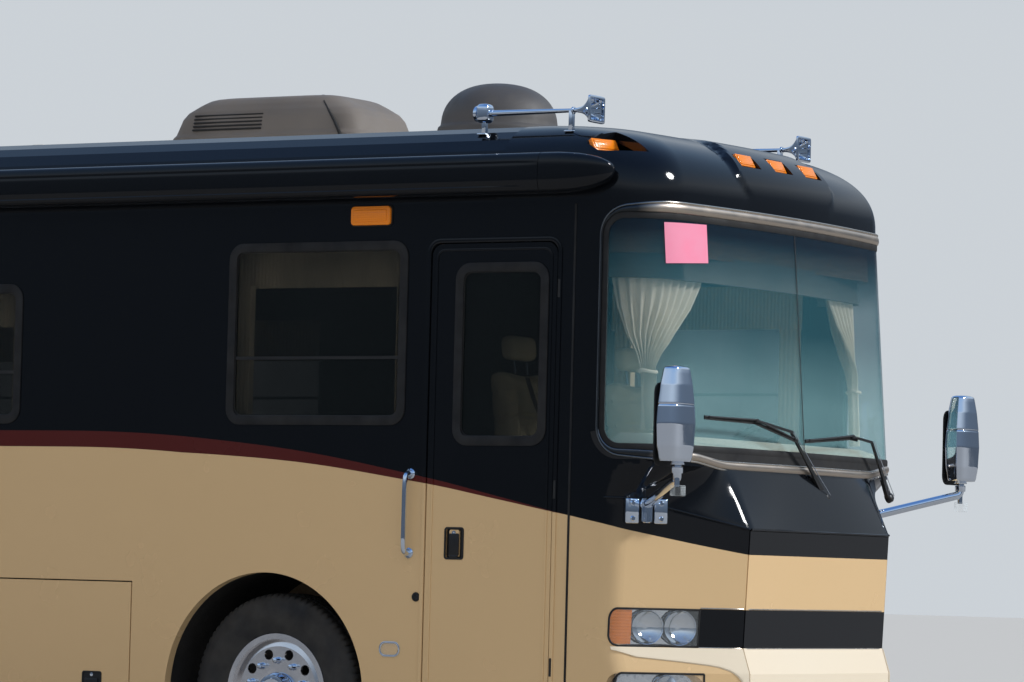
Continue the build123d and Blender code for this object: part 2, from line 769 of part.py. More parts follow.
def make_front_axle():
    """Dropped beam axle with a kingpin boss at each end."""
    beam = block((-680, 680), (FRONT_AXLE_Y - 45, FRONT_AXLE_Y + 45), (400, 500))
    for side in SIDES:
        rise = Plane(origin=(side * 660, FRONT_AXLE_Y, 450), z_dir=(side, 0, 0))
        top = Plane(origin=(side * (KINGPIN_X - 30), FRONT_AXLE_Y, TYRE_R), z_dir=(side, 0, 0))
        beam += loft([rise * Rectangle(90, 90), top * Rectangle(76, 76)])
        boss = Pos(side * KINGPIN_X, FRONT_AXLE_Y, TYRE_R)
        beam += boss * Cylinder(46, 110)
        beam -= boss * Cylinder(KINGPIN_R + REST_GAP, 120)
    return beam


def make_knuckle(side):
    """Steering knuckle: two ears round the kingpin boss and a spindle for the hub."""
    pin = Pos(side * KINGPIN_X, FRONT_AXLE_Y, TYRE_R)
    ear = pin * Cylinder(44, 34)
    lift = 55 + SEAM + 17
    knuckle = Pos(0, 0, lift) * ear + Pos(0, 0, -lift) * ear + pin * Cylinder(KINGPIN_R, 2 * lift)
    back_x = sorted((side * (KINGPIN_X + 46 + SEAM), side * (KINGPIN_X + 46 + SEAM + 34)))
    y = (FRONT_AXLE_Y - 44, FRONT_AXLE_Y + 44)
    knuckle += block(back_x, y, (TYRE_R - lift - 17, TYRE_R + lift + 17))
    for z in (TYRE_R + lift, TYRE_R - lift):
        x = sorted((side * KINGPIN_X, side * (KINGPIN_X + 60)))
        knuckle += block(x, grown(y, -8), (z - 17, z + 17))
    knuckle += rod(
        (side * (KINGPIN_X + 60), FRONT_AXLE_Y, TYRE_R),
        (side * (FRONT_WHEEL_X + 120), FRONT_AXLE_Y, TYRE_R),
        SPINDLE_R,
    )
    return knuckle


def make_rear_axle():
    """Axle housing with its banjo, and a spindle for each pair of wheels."""
    centre = (REAR_AXLE_Y, TYRE_R)
    half = DUAL_DISC_X + 120
    axle = rod((-half, *centre), (half, *centre), SPINDLE_R)
    sleeve = DUAL_IN_X - BEAD_WIDTH / 2
    axle += rod((-sleeve, *centre), (sleeve, *centre), 80)
    axle += Pos(0, REAR_AXLE_Y, TYRE_R) * Rot(90, 0, 0) * Cylinder(215, 190)
    axle += rod((0, REAR_AXLE_Y, TYRE_R), (0, REAR_AXLE_Y + 235 - REST_GAP, TYRE_R), 110, 70)
    return axle


def make_suspension():
    """Air bellows under the rails and the radius rods that hold each axle."""
    gear = Part()
    for axle_y, seat_z in ((FRONT_AXLE_Y, 500), (REAR_AXLE_Y, TYRE_R + 80)):
        for side in SIDES:
            arm = block(
                sorted((side * (RAIL_X - 40), side * (RAIL_X + 40))),
                (axle_y - BELLOWS_Y - 60, axle_y + BELLOWS_Y + 60),
                (seat_z, seat_z + 40),
            )
            gear += arm
            for y in (axle_y - BELLOWS_Y, axle_y + BELLOWS_Y):
                height = RAIL_LOW_Z - seat_z - 40
                place = Pos(side * RAIL_X, y, seat_z + 40 + height / 2)
                gear += place * Cylinder(BELLOWS_R, height)
    return gear


def tyre_profile(centre_x):
    """Tyre section from bead to tread: (along x, radius)."""
    bead, wide = BEAD_WIDTH / 2, TYRE_WIDTH / 2
    right = [
        (bead, BEAD_R),
        (bead, FLANGE_R + 2),
        (wide - 4, BEAD_R + 90),
        (wide, BEAD_R + 135),
        (wide - 8, TYRE_R - 30),
        (wide - 26, TYRE_R - 6),
        (wide - 60, TYRE_R),
    ]
    left = [(-x, r) for x, r in reversed(right)]
    return [(centre_x + x, r) for x, r in right + left]


def make_tyre(centre_x, axle_y):
    return turned(tyre_profile(centre_x), (axle_y, TYRE_R))


def make_rim(side, wheel_x, disc_x, axle_y):
    """Drop-centre rim with flanges, dished web, disc with hand holes and hub bore."""
    centre = (axle_y, TYRE_R)
    bead = BEAD_WIDTH / 2
    outer_r = BEAD_R - REST_GAP
    inner_r = outer_r - RIM
    x = side * wheel_x
    rim = turned([(x - bead, inner_r), (x + bead, inner_r), (x + bead, outer_r), (x - bead, outer_r)], centre)
    for end in (-1, 1):
        a, b = x + end * (bead + REST_GAP), x + end * (bead + RIM)
        rim += turned([(x + end * (bead - 1), inner_r), (b, inner_r), (b, FLANGE_R), (a, FLANGE_R),
                       (a, outer_r), (x + end * (bead - 1), outer_r)], centre)
    disc = side * disc_x
    towards = 1 if disc > x else -1
    edge = x + towards * (bead - 30)
    web_r = HAND_HOLE_PCD / 2 + HAND_HOLE_R + 8
    rim += turned([(disc - DISC / 2, SPINDLE_R + 3), (disc + DISC / 2, SPINDLE_R + 3),
                   (disc + DISC / 2, web_r), (disc - DISC / 2, web_r)], centre)
    rim += turned([(disc - DISC / 2, web_r - 2), (disc + DISC / 2, web_r - 2),
                   (edge + DISC / 2, inner_r + 1), (edge - DISC / 2, inner_r + 1)], centre)
    for i in range(HAND_HOLES):
        turn = 2 * pi * i / HAND_HOLES
        y = axle_y + HAND_HOLE_PCD / 2 * cos(turn)
        z = TYRE_R + HAND_HOLE_PCD / 2 * sin(turn)
        rim -= rod((disc - DISC, y, z), (disc + DISC, y, z), HAND_HOLE_R)
    return rim


def make_hub(side, disc_x, axle_y, cap_out):
    """Hub drum on the spindle, closed by its cap."""
    inner = SPINDLE_R + REST_GAP
    disc = side * disc_x
    start = disc - side * 90
    end = disc + side * cap_out
    hub = turned([(start, inner), (disc, inner), (disc, HUB_R), (start, HUB_R)], (axle_y, TYRE_R))
    lid = end - side * 12
    hub += turned([(disc, inner), (lid, inner), (lid, HUB_R - 20), (disc, HUB_R - 8)], (axle_y, TYRE_R))
    hub += turned([(lid, 0), (end, 0), (end, HUB_R - 30), (lid, HUB_R - 20)], (axle_y, TYRE_R))
    return hub


def make_wheels():
    """Front wheels with the disc outboard, and rear pairs joined at their discs."""
    parts = {}
    for side, name in ((KERB, "kerb"), (STREET, "street")):
        disc_x = FRONT_WHEEL_X + BEAD_WIDTH / 2 - 20
        rim = make_rim(side, FRONT_WHEEL_X, disc_x, FRONT_AXLE_Y)
        parts[f"front_rim_{name}"] = rim + make_hub(side, disc_x, FRONT_AXLE_Y, 62)
        parts[f"front_tyre_{name}"] = make_tyre(side * FRONT_WHEEL_X, FRONT_AXLE_Y)
        pair = make_rim(side, DUAL_IN_X, DUAL_DISC_X - DISC / 2, REAR_AXLE_Y)
        pair += make_rim(side, DUAL_OUT_X, DUAL_DISC_X + DISC / 2, REAR_AXLE_Y)
        parts[f"rear_rims_{name}"] = pair + make_hub(side, DUAL_DISC_X, REAR_AXLE_Y, 140)
        inner = make_tyre(side * DUAL_IN_X, REAR_AXLE_Y)
        parts[f"rear_tyres_{name}"] = inner + make_tyre(side * DUAL_OUT_X, REAR_AXLE_Y)
    return parts


def make_roof_gear():
    """Dish dome, air conditioners and air horns on the roof."""
    dome = Pos(0, DISH_Y, ROOF_Z + DISH_SKIRT / 2) * Cylinder(DISH_R, DISH_SKIRT)
    cap_height = 205
    ball_r = (DISH_R**2 + cap_height**2) / (2 * cap_height)
    ball = Pos(0, DISH_Y, ROOF_Z + DISH_SKIRT + cap_height - ball_r) * Sphere(ball_r)
    over = block((-DISH_R, DISH_R), grown((DISH_Y, DISH_Y), DISH_R), (ROOF_Z + DISH_SKIRT, ROOF_Z + 500))
    dome += ball & over
    width, length, height = AIR_UNIT
    units = Part()
    for y in AIR_UNIT_YS:
        base = Plane(origin=(0, y, ROOF_Z))
        shoulder = base.offset(height * 0.62)
        crest = base.offset(height)
        unit = loft([base * Rectangle(width, length), shoulder * Rectangle(width - 40, length - 120)])
        unit += loft([shoulder * Rectangle(width - 40, length - 120), crest * Rectangle(width - 220, length - 460)])
        units += unit
    return dome, units


def make_air_horns():
    """Two trumpets with square bells, each on two feet."""
    horns = Part()
    width, height = HORN_BELL
    for side in SIDES:
        x = side * HORN_X
        mouth = Plane(origin=(x, HORN_Y - 40, HORN_Z), z_dir=(0, 1, 0))
        bell = loft([mouth * Rectangle(width, height), mouth.offset(90) * Rectangle(70, 64)])
        bell -= loft([mouth.offset(-1) * Rectangle(width - 14, height - 14), mouth.offset(76) * Rectangle(52, 46)])
        throat = (x, HORN_Y + 45, HORN_Z)
        driver_y = HORN_Y + HORN_LENGTH
        bell += rod(throat, (x, driver_y, HORN_Z), 30, 15)
        bell += Pos(x, driver_y + 36, HORN_Z) * Box(*HORN_DRIVER)
        horns += bell
    return horns


def horn_feet(roof):
    """Feet that carry the horns, cut to the curve of the roof."""
    feet = Part()
    for side in SIDES:
        x = side * HORN_X
        for y, top in ((HORN_Y + 110, HORN_Z - 24), (HORN_Y + HORN_LENGTH + 36, HORN_Z - 48)):
            feet += block((x - 16, x + 16), (y - 20, y + 20), (HEADER_Z + 60, top))
    return feet - roof


def make_awning(outer):
    """Awning case: a long rounded bar with a bullet nose at the front."""
    mid_z = (AWNING_LOW_Z + AWNING_HIGH_Z) / 2
    height = AWNING_HIGH_Z - AWNING_LOW_Z
    face_x = -HALF_WIDTH
    start = AWNING_FRONT_Y + 260

    def section(y, scale):
        plane = Plane(origin=(face_x, y, mid_z), x_dir=(-1, 0, 0), z_dir=(0, 1, 0))
        shape = Pos(AWNING_OUT * scale / 2, 0) * RectangleRounded(AWNING_OUT * scale, height * scale, 60 * scale)
        return plane * shape

    case = loft([section(start, 1), section(AWNING_REAR_Y, 1)])
    case += loft([section(AWNING_FRONT_Y, 0.45), section(AWNING_FRONT_Y + 70, 0.8), section(start, 1)], ruled=True)
    span = AWNING_REAR_Y - start
    for share in (0.02, 0.34, 0.66, 0.98):
        y = start + share * span
        x = (-HALF_WIDTH - 10, -HALF_WIDTH + 90)
        case += block(x, (y - 60, y + 60), grown((AWNING_LOW_Z, AWNING_HIGH_Z), -40)) - outer
    return case


def make_mirrors(outer):
    """Tall chrome mirror heads on tapered arms, each from a block on the nose facet."""
    angle = radians(FACET_ANGLE)
    mirrors = Part()
    width, depth, height = MIRROR_BRACKET
    root_x = 1178
    face = Vector(root_x, CREASE_Y + (root_x - FACET_X) * tan(angle), MIRROR_ROOT_Z)
    outward = Vector(sin(angle), -cos(angle), 0)
    plane = Plane(origin=face - outward * depth, x_dir=(cos(angle), sin(angle), 0), z_dir=outward)
    bracket = extrude(plane * Rectangle(width, height), 2 * depth) - outer
    knee = face + outward * (depth - 8) + Vector(0, 0, 20)
    elbow = Vector(MIRROR_X - 18, MIRROR_Y - 4, 1640)
    arm = rod(tuple(knee), tuple(elbow), 26, 17)
    stub = rod((MIRROR_X - 18, MIRROR_Y - 4, 1600), (MIRROR_X - 18, MIRROR_Y - 4, MIRROR_LOW_Z + 20), 19)
    lamp = Pos(MIRROR_X - 18, MIRROR_Y - 10, 1578) * Box(66, 66, 60)
    rows = (
        (MIRROR_LOW_Z, 190, 96),
        (MIRROR_LOW_Z + 70, MIRROR_WIDTH, MIRROR_DEPTH),
        (MIRROR_SEAM_Z, 226, 132),
        (MIRROR_HIGH_Z - 60, 178, 104),
        (MIRROR_HIGH_Z, 128, 62),
    )
    sections = []
    for z, wide, deep in rows:
        plate = Plane(origin=(MIRROR_X, MIRROR_Y, z))
        sections.append(plate * RectangleRounded(wide, deep, deep * 0.3))
    head = loft(sections, ruled=True)
    return both_sides(bracket + arm + stub + lamp + head)


def make_wipers(outer):
    """Two arms that park the blades level across the foot of the windshield."""
    rows = (
        ((190, -6024, 1590), (-245, -6052, 1908), (-600, -6040, 1952), (-1030, -5990, 1956), (-200, -6064, 1870)),
        ((1025, -5962, 1610), (672, -6034, 1892), (410, -6052, 1912), (-120, -6066, 1872), (500, -6044, 1905)),
    )
    wipers = Part()
    for pivot, bend, clip, tip, heel in rows:
        wipers += rod((pivot[0], pivot[1] + 150, pivot[2] - 46), (pivot[0], pivot[1] - 34, pivot[2] + 8), 20)
        wipers += rod((pivot[0], pivot[1] - 22, pivot[2] + 5), bend, 11, 7)
        wipers += rod(bend, clip, 7)
        wipers += rod(tip, clip, 8) + rod(clip, heel, 8)
    return wipers - outer


def make_markers(outer):
    """Amber marker lamps on the brow: three in the middle and one at each corner."""
    lamp = Box(*MARKER_SIZE)
    front_y = CORNER_MARKER[1] - 390
    lamps = Part()
    for i in (-1, 0, 1):
        lamps += Pos(i * MARKER_PITCH, front_y, MARKER_Z) * lamp
    for side in SIDES:
        lamps += Pos(side * CORNER_MARKER[0], *CORNER_MARKER[1:]) * Rot(0, 0, side * 52) * lamp
    lamps -= outer
    porch = side_plate(KERB, (-4277, -4035), (2915, 3012), 22, 20, 22)
    return lamps, porch


def make_grab_handle():
    """Upright grab handle behind the entry door."""
    x = -HALF_WIDTH
    y = -4430
    bar = rod((x - 62, y, 1240), (x - 62, y, 1660), 14)
    for z in (1262, 1638):
        bar += rod((x, y, z), (x - 62, y, z), 12)
    return bar


def make_seat(x):
    """A cab seat at one x: cushion, leaning back and head rest as one soft block."""
    seat = block((x - 270, x + 270), (SEAT_FRONT_Y, SEAT_REAR_Y), (SEAT_LOW_Z + REST_GAP, SEAT_HIGH_Z))
    for y, z, width, thick, height in (
        (SEAT_REAR_Y - 60, SEAT_HIGH_Z - 60, 540, 150, 640),
        (SEAT_REAR_Y + 20, SEAT_HIGH_Z + 575, 300, 120, 170),
    ):
        plane = Plane(origin=(x, y, z), x_dir=(1, 0, 0), z_dir=(0, SEAT_LEAN, 1))
        seat += extrude(plane * Rectangle(width, thick), height)
    return seat


def make_steering_wheel(dash):
    """Steering wheel with three spokes on its column, which ends at the dashboard."""
    centre = Vector(*STEERING_CENTRE)
    lean = Plane(origin=centre, x_dir=(1, 0, 0), z_dir=(0, 0.6, 0.8))
    wheel = lean * Torus(225, 17)
    wheel += extrude(lean * Circle(60), 26, both=True)
    for turn in (90, 210, 330):
        arm = Vector(cos(radians(turn)), sin(radians(turn)), 0)
        a, b = lean.from_local_coords(arm * 40), lean.from_local_coords(arm * 222)
        wheel += rod(tuple(a), tuple(b), 13)
    foot = lean.from_local_coords(Vector(0, 0, -250))
    wheel += rod(tuple(centre), tuple(foot), 26)
    return wheel - dash


def make_cab(inner):
    """Dashboard, steering wheel, seat pedestals, seats, overhead cabinet and curtains."""
    section = make_face(Polyline(*[(0, y, z) for y, z in DASH_SECTION], close=True))
    dash = extrude(section, DASH_HALF, both=True) & body_solid(WALL + 12)
    wheel = make_steering_wheel(dash)
    pedestals, seats = Part(), Part()
    for x in SEAT_XS:
        pedestals += block((x - 190, x + 190), (SEAT_FRONT_Y + 80, SEAT_REAR_Y - 60), (DECK_HIGH_Z, SEAT_LOW_Z))
        seats += make_seat(x)
    cabinet = inner & block((-HALF_WIDTH, HALF_WIDTH), CABINET_Y, CABINET_Z)
    drape = body_solid(CURTAIN_SET_BACK) - body_solid(CURTAIN_SET_BACK + CURTAIN_THICK)
    drape_z = (CURTAIN_LOW_Z, CABINET_Z[0] - REST_GAP)
    curtains = Part()
    for side in SIDES:
        x = sorted((side * CURTAIN_IN_X, side * HALF_WIDTH))
        curtains += drape & block(x, (HEADER_Y, CABINET_Y[1]), drape_z)
    return dash, wheel, pedestals, seats, cabinet, curtains


def main():
    outer, inner, body = make_body()
    cut_side_walls(body)
    parts = dict(body)
    parts["windshield"] = make_windshield(outer)
    parts["side_windows"] = make_side_windows()
    parts["entry_door"], parts["entry_door_glass"] = make_entry_door()
    parts.update(make_bay_doors())
    parts["slide_room"], parts["slide_room_glass"] = make_slide_room()
    fascia, nose_door, lenses, bowls = make_nose(outer, inner, parts["front_fascia"])
    parts["front_fascia"] = fascia
    parts["nose_door"] = nose_door
    parts["lamp_lenses"] = lenses
    parts["lamp_bowls"] = bowls - lamp_cups()
    parts["rear_cap"], parts["engine_door"], parts["tail_lamps"] = make_rear(outer, inner, parts["rear_cap"])
    parts["floor_deck"] = make_deck(inner) + make_slide_runners()
    parts["entry_steps"] = make_steps()
    parts["wheel_housings"] = make_wheel_housings()
    parts["storage_trays"] = make_trays()
    parts["chassis_frame"] = make_frame() + make_cradle()
    parts["hitch_receiver"] = make_hitch()
    parts["engine"], parts["generator"] = make_power()
    parts["front_axle"] = make_front_axle()
    parts["rear_axle"] = make_rear_axle()
    parts["suspension"] = make_suspension()
    parts["knuckle_kerb"] = make_knuckle(KERB)
    parts["knuckle_street"] = make_knuckle(STREET)
    parts.update(make_wheels())
    parts["satellite_dome"], parts["air_conditioners"] = make_roof_gear()
    parts["air_horns"] = make_air_horns() + horn_feet(outer)
    parts["awning_case"] = make_awning(outer)
    parts["mirrors"] = make_mirrors(outer)
    parts["wipers"] = make_wipers(outer)
    markers, porch = make_markers(outer)
    parts["amber_lamps"] = markers + porch
    parts["grab_handle"] = make_grab_handle()
    cab = make_cab(inner)
    for name, piece in zip(
        ("dashboard", "steering_wheel", "seat_pedestals", "cab_seats", "overhead_cabinet", "curtains"), cab
    ):
        parts[name] = piece
    os.makedirs("parts", exist_ok=True)
    for name, piece in parts.items():
        export_step(piece, f"parts/{name}.step")


if __name__ == "__main__":
    main()
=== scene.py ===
# %% [markdown]
# # A motorhome with its engine at the back
# The frame holds the solids at their real size and place, so this lesson adds what the eye looks for:
# paint, glass, chrome, rubber, mouldings, and the seats and curtains behind the windshield.

from math import acos, asin, atan2, cos, pi, radians, sin, sqrt, tan

import bmesh
import bpy
from mathutils import Matrix, Vector


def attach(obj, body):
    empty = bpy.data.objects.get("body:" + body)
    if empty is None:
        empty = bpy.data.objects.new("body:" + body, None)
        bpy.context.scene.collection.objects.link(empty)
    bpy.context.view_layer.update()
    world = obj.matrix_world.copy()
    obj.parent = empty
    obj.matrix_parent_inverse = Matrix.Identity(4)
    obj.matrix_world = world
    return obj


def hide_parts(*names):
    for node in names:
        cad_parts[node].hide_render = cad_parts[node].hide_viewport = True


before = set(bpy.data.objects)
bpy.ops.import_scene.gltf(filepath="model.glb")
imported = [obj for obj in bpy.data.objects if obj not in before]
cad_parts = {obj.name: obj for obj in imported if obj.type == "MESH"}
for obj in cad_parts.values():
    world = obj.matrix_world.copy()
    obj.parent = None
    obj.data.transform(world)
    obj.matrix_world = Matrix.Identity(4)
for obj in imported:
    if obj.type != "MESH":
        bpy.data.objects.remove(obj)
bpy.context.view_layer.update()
KERB, STREET = -1, 1
SIDES = {"kerb": KERB, "street": STREET}

# %% [markdown]
# The photographer stood low down, ahead of the kerb corner of the nose, with a long lens. A camera
# could be turned with three angles, but yaw, pitch and roll as three matrices read as one sentence:
# tilt the lens, lift it, swing it round.

# %% Camera
CAMERA_PLACE = (-20.75, -17.18, 1.14)
CAMERA_YAW, CAMERA_PITCH, CAMERA_ROLL = radians(58), radians(2.94), radians(1.42)
camera_data = bpy.data.cameras.new("camera")
camera_data.lens = 161.8
camera_data.clip_end = 400
camera = bpy.data.objects.new("camera", camera_data)
bpy.context.scene.collection.objects.link(camera)
camera.matrix_world = (
    Matrix.Translation(CAMERA_PLACE)
    @ Matrix.Rotation(-CAMERA_YAW, 4, "Z")
    @ Matrix.Rotation(pi / 2 + CAMERA_PITCH, 4, "X")
    @ Matrix.Rotation(CAMERA_ROLL, 4, "Z")
)
bpy.context.scene.camera = camera
print("camera:", round(camera_data.lens), "mm lens,", round(camera.location.length, 1), "m from the middle")

# %% [markdown]
# The studio is a pale floor under a pale sky. Area lamps fade along a twelve metre vehicle, so two
# wide sun lamps light it instead, the same from nose to tail. The key comes from ahead on the street
# side, as the sun does in the photograph, and leaves the kerb side in soft shade.

# %% Studio
SKY_FILL = (0.92, 0.94, 1.0, 1)
# Height in the sky from 0 to 1, and the colour there: as the camera sees it, then as gloss shows it.
SKY_SEEN = ((0.12, (0.60, 0.64, 0.68, 1)), (0.60, (0.22, 0.38, 0.66, 1)))
SKY_IN_GLOSS = ((0.0, (0.08, 0.10, 0.13, 1)), (0.17, (0.13, 0.17, 0.23, 1)), (0.34, (0.52, 0.60, 0.70, 1)),
                (0.55, (0.30, 0.46, 0.70, 1)), (0.90, (0.10, 0.22, 0.50, 1)))
FILL_STRENGTH = 0.42
FLOOR_COLOR = (0.60, 0.60, 0.585, 1)
FLOOR_SIZE = 150


def make_sky():
    """A pale sky that chrome, glass and the camera see, and an even fill for everything else."""
    world = bpy.data.worlds.new("studio_sky")
    world.use_nodes = True
    tree = world.node_tree
    fill = tree.nodes["Background"]
    fill.inputs["Color"].default_value = SKY_FILL
    fill.inputs["Strength"].default_value = FILL_STRENGTH
    direction = tree.nodes.new("ShaderNodeTexCoord")
    height = tree.nodes.new("ShaderNodeSeparateXYZ")
    tree.links.new(direction.outputs["Generated"], height.inputs[0])
    skies = []
    for stops in (SKY_SEEN, SKY_IN_GLOSS):
        sky, ramp = tree.nodes.new("ShaderNodeBackground"), tree.nodes.new("ShaderNodeValToRGB")
        for stop in stops[2:]:
            ramp.color_ramp.elements.new(stop[0])
        for element, (position, color) in zip(ramp.color_ramp.elements, stops):
            element.position, element.color = position, color
        tree.links.new(height.outputs["Z"], ramp.inputs[0])
        tree.links.new(ramp.outputs["Color"], sky.inputs["Color"])
        skies.append(sky)
    rays = tree.nodes.new("ShaderNodeLightPath")
    either = tree.nodes.new("ShaderNodeMath")
    either.operation = "MAXIMUM"
    first, second = tree.nodes.new("ShaderNodeMixShader"), tree.nodes.new("ShaderNodeMixShader")
    links = tree.links
    links.new(rays.outputs["Is Camera Ray"], either.inputs[0])
    links.new(rays.outputs["Is Transmission Ray"], either.inputs[1])
    links.new(either.outputs[0], first.inputs[0])
    links.new(fill.outputs[0], first.inputs[1])
    links.new(skies[0].outputs[0], first.inputs[2])
    links.new(rays.outputs["Is Glossy Ray"], second.inputs[0])
    links.new(first.outputs[0], second.inputs[1])
    links.new(skies[1].outputs[0], second.inputs[2])
    links.new(second.outputs[0], tree.nodes["World Output"].inputs["Surface"])
    bpy.context.scene.world = world


def add_sun(name, towards, strength, spread):
    """A sun lamp that shines along a direction, as wide in the sky as its spread in degrees."""
    data = bpy.data.lights.new(name, "SUN")
    data.energy = strength
    data.angle = radians(spread)
    lamp = bpy.data.objects.new(name, data)
    lamp.rotation_mode = "QUATERNION"
    lamp.rotation_quaternion = Vector(towards).to_track_quat("-Z", "Y")
    bpy.context.scene.collection.objects.link(lamp)
    return lamp


make_sky()
add_sun("key_sun", (-0.30, 0.74, -0.60), 2.6, 12)
add_sun("soft_sun", (0.62, 0.35, -0.70), 0.35, 60).visible_glossy = False
bpy.context.scene.view_settings.view_transform = "Standard"
print("studio: fill", FILL_STRENGTH, "and two suns")

# %% [markdown]
# A finish is a Principled shader with a few texture nodes in front of it. Wiring each by hand would
# bury the idea, so three small helpers add a node, do sums on values, and measure where a point lies.
# Everything reads Object coordinates, which are metres in the vehicle's own frame.


# %% Node helpers
def new_finish(name, color, roughness, metallic=0.0, coat=0.0, **sockets):
    """A material with one Principled shader set to a plain start."""
    material = bpy.data.materials.new(name)
    material.use_nodes = True
    shader = material.node_tree.nodes["Principled BSDF"]
    shader.inputs["Base Color"].default_value = (*color, 1)
    shader.inputs["Roughness"].default_value = roughness
    shader.inputs["Metallic"].default_value = metallic
    shader.inputs["Coat Weight"].default_value = coat
    shader.inputs["Coat Roughness"].default_value = 0.04
    for socket, value in sockets.items():
        shader.inputs[socket.replace("_", " ")].default_value = value
    return material


def connect(material, value, socket):
    """Feeds a socket from another node's output, or sets it to a number or colour."""
    if isinstance(value, bpy.types.NodeSocket):
        material.node_tree.links.new(value, socket)
    else:
        socket.default_value = value


def node(material, kind, inputs=(), **settings):
    """Adds a node, sets it up and feeds its inputs, given as pairs of socket and value."""
    made = material.node_tree.nodes.new(kind)
    for key, value in settings.items():
        setattr(made, key, value)
    for socket, value in inputs:
        connect(material, value, made.inputs[socket])
    return made


def shade(material, socket, value):
    """Feeds one socket of the material's shader."""
    connect(material, value, material.node_tree.nodes["Principled BSDF"].inputs[socket])


def sums(material, operation, *values):
    """One step of arithmetic on the material's values."""
    return node(material, "ShaderNodeMath", list(enumerate(values)), operation=operation).outputs[0]


def place(material):
    """Where the shaded point is, in metres, in the vehicle's frame."""
    return node(material, "ShaderNodeTexCoord").outputs["Object"]


def axes(material):
    """The place as three values: x, y and z."""
    return node(material, "ShaderNodeSeparateXYZ", [(0, place(material))]).outputs


def stretch(material, scale):
    """The place with each axis scaled, to draw a pattern out along one of them."""
    return node(material, "ShaderNodeMapping", [("Vector", place(material)), ("Scale", scale)]).outputs[0]


def mix_color(material, share, first, second):
    """A colour between two, by a share from 0 to 1."""
    made = node(material, "ShaderNodeMix", data_type="RGBA")
    connect(material, share, made.inputs["Factor"])
    for socket, value in ((6, first), (7, second)):
        connect(material, value, made.inputs[socket])
    return made.outputs[2]


def noise(material, scale, detail=3.0, where=None):
    """Soft random values about 0.5."""
    inputs = [("Vector", where or place(material)), ("Scale", scale), ("Detail", detail)]
    return node(material, "ShaderNodeTexNoise", inputs).outputs["Fac"]


def spread(material, value, low, high, start=0.3, end=0.7):
    """A value moved from one range to another."""
    inputs = [("Value", value), ("From Min", start), ("From Max", end), ("To Min", low), ("To Max", high)]
    return node(material, "ShaderNodeMapRange", inputs).outputs[0]


def relief(material, height, strength, distance):
    """Small ups and downs of the surface."""
    inputs = [("Height", height), ("Strength", strength), ("Distance", distance)]
    shade(material, "Normal", node(material, "ShaderNodeBump", inputs).outputs[0])


def mottle(material, first, second, scale, detail=4.0):
    """Lets the base colour wander between two colours."""
    share = spread(material, noise(material, scale, detail), 0, 1)
    shade(material, "Base Color", mix_color(material, share, (*first, 1), (*second, 1)))


def uneven_gloss(material, low, high, scale):
    """Lets the roughness wander, as fingers and weather leave it."""
    shade(material, "Roughness", spread(material, noise(material, scale), low, high))


print("helpers ready")

# %% [markdown]
# The body is gloss black above and gold tan below. The edge between them is level across the nose and
# climbs along the sides, with a maroon stripe under it. It could be masked with an image, but a curve
# node that gives the height of the edge for each distance along the body draws it sharp at any size.

# %% Coach paint
BLACK, TAN = (0.004, 0.005, 0.007), (0.71, 0.50, 0.27)
CREAM, MAROON = (0.84, 0.75, 0.60), (0.09, 0.012, 0.010)
BODY_HALF_LENGTH = 6.2
EDGE_TOP = 2.4
# Along the body, y in metres, and the height of the paint edge there.
PAINT_EDGE = (
    (-6.20, 1.279), (-6.098, 1.279), (-5.92, 1.323), (-5.76, 1.366), (-5.60, 1.410), (-5.32, 1.464),
    (-4.97, 1.539), (-4.46, 1.644), (-3.40, 1.80), (-2.20, 1.86), (1.00, 1.84), (6.20, 1.62),
)
BAND = (0.817, 1.007)
CREAM_TOP = 0.9
BAND_REAR_Y, FACET_SEAM_X = -5.672, 0.752
# The edge is straight over the flat facets ahead of here, and an easy curve behind.
FACET_END_Y = -5.5
CAP_JOINT_Y = -5.37


def edge_height(material, y):
    """The height of the paint edge at y, read from a curve."""
    curve = node(material, "ShaderNodeFloatCurve")
    line = curve.mapping.curves[0]
    whole = 2 * BODY_HALF_LENGTH
    spots = [((y_at + BODY_HALF_LENGTH) / whole, z_at / EDGE_TOP) for y_at, z_at in PAINT_EDGE]
    line.points[0].location = spots[0]
    line.points[1].location = spots[-1]
    for spot in spots[1:-1]:
        line.points.new(*spot)
    for point, (y_at, _) in zip(line.points, PAINT_EDGE):
        point.handle_type = "VECTOR" if y_at < FACET_END_Y else "AUTO_CLAMPED"
    curve.mapping.update()
    along = spread(material, y, 0, 1, -BODY_HALF_LENGTH, BODY_HALF_LENGTH)
    connect(material, along, curve.inputs["Value"])
    return sums(material, "MULTIPLY", curve.outputs[0], EDGE_TOP)


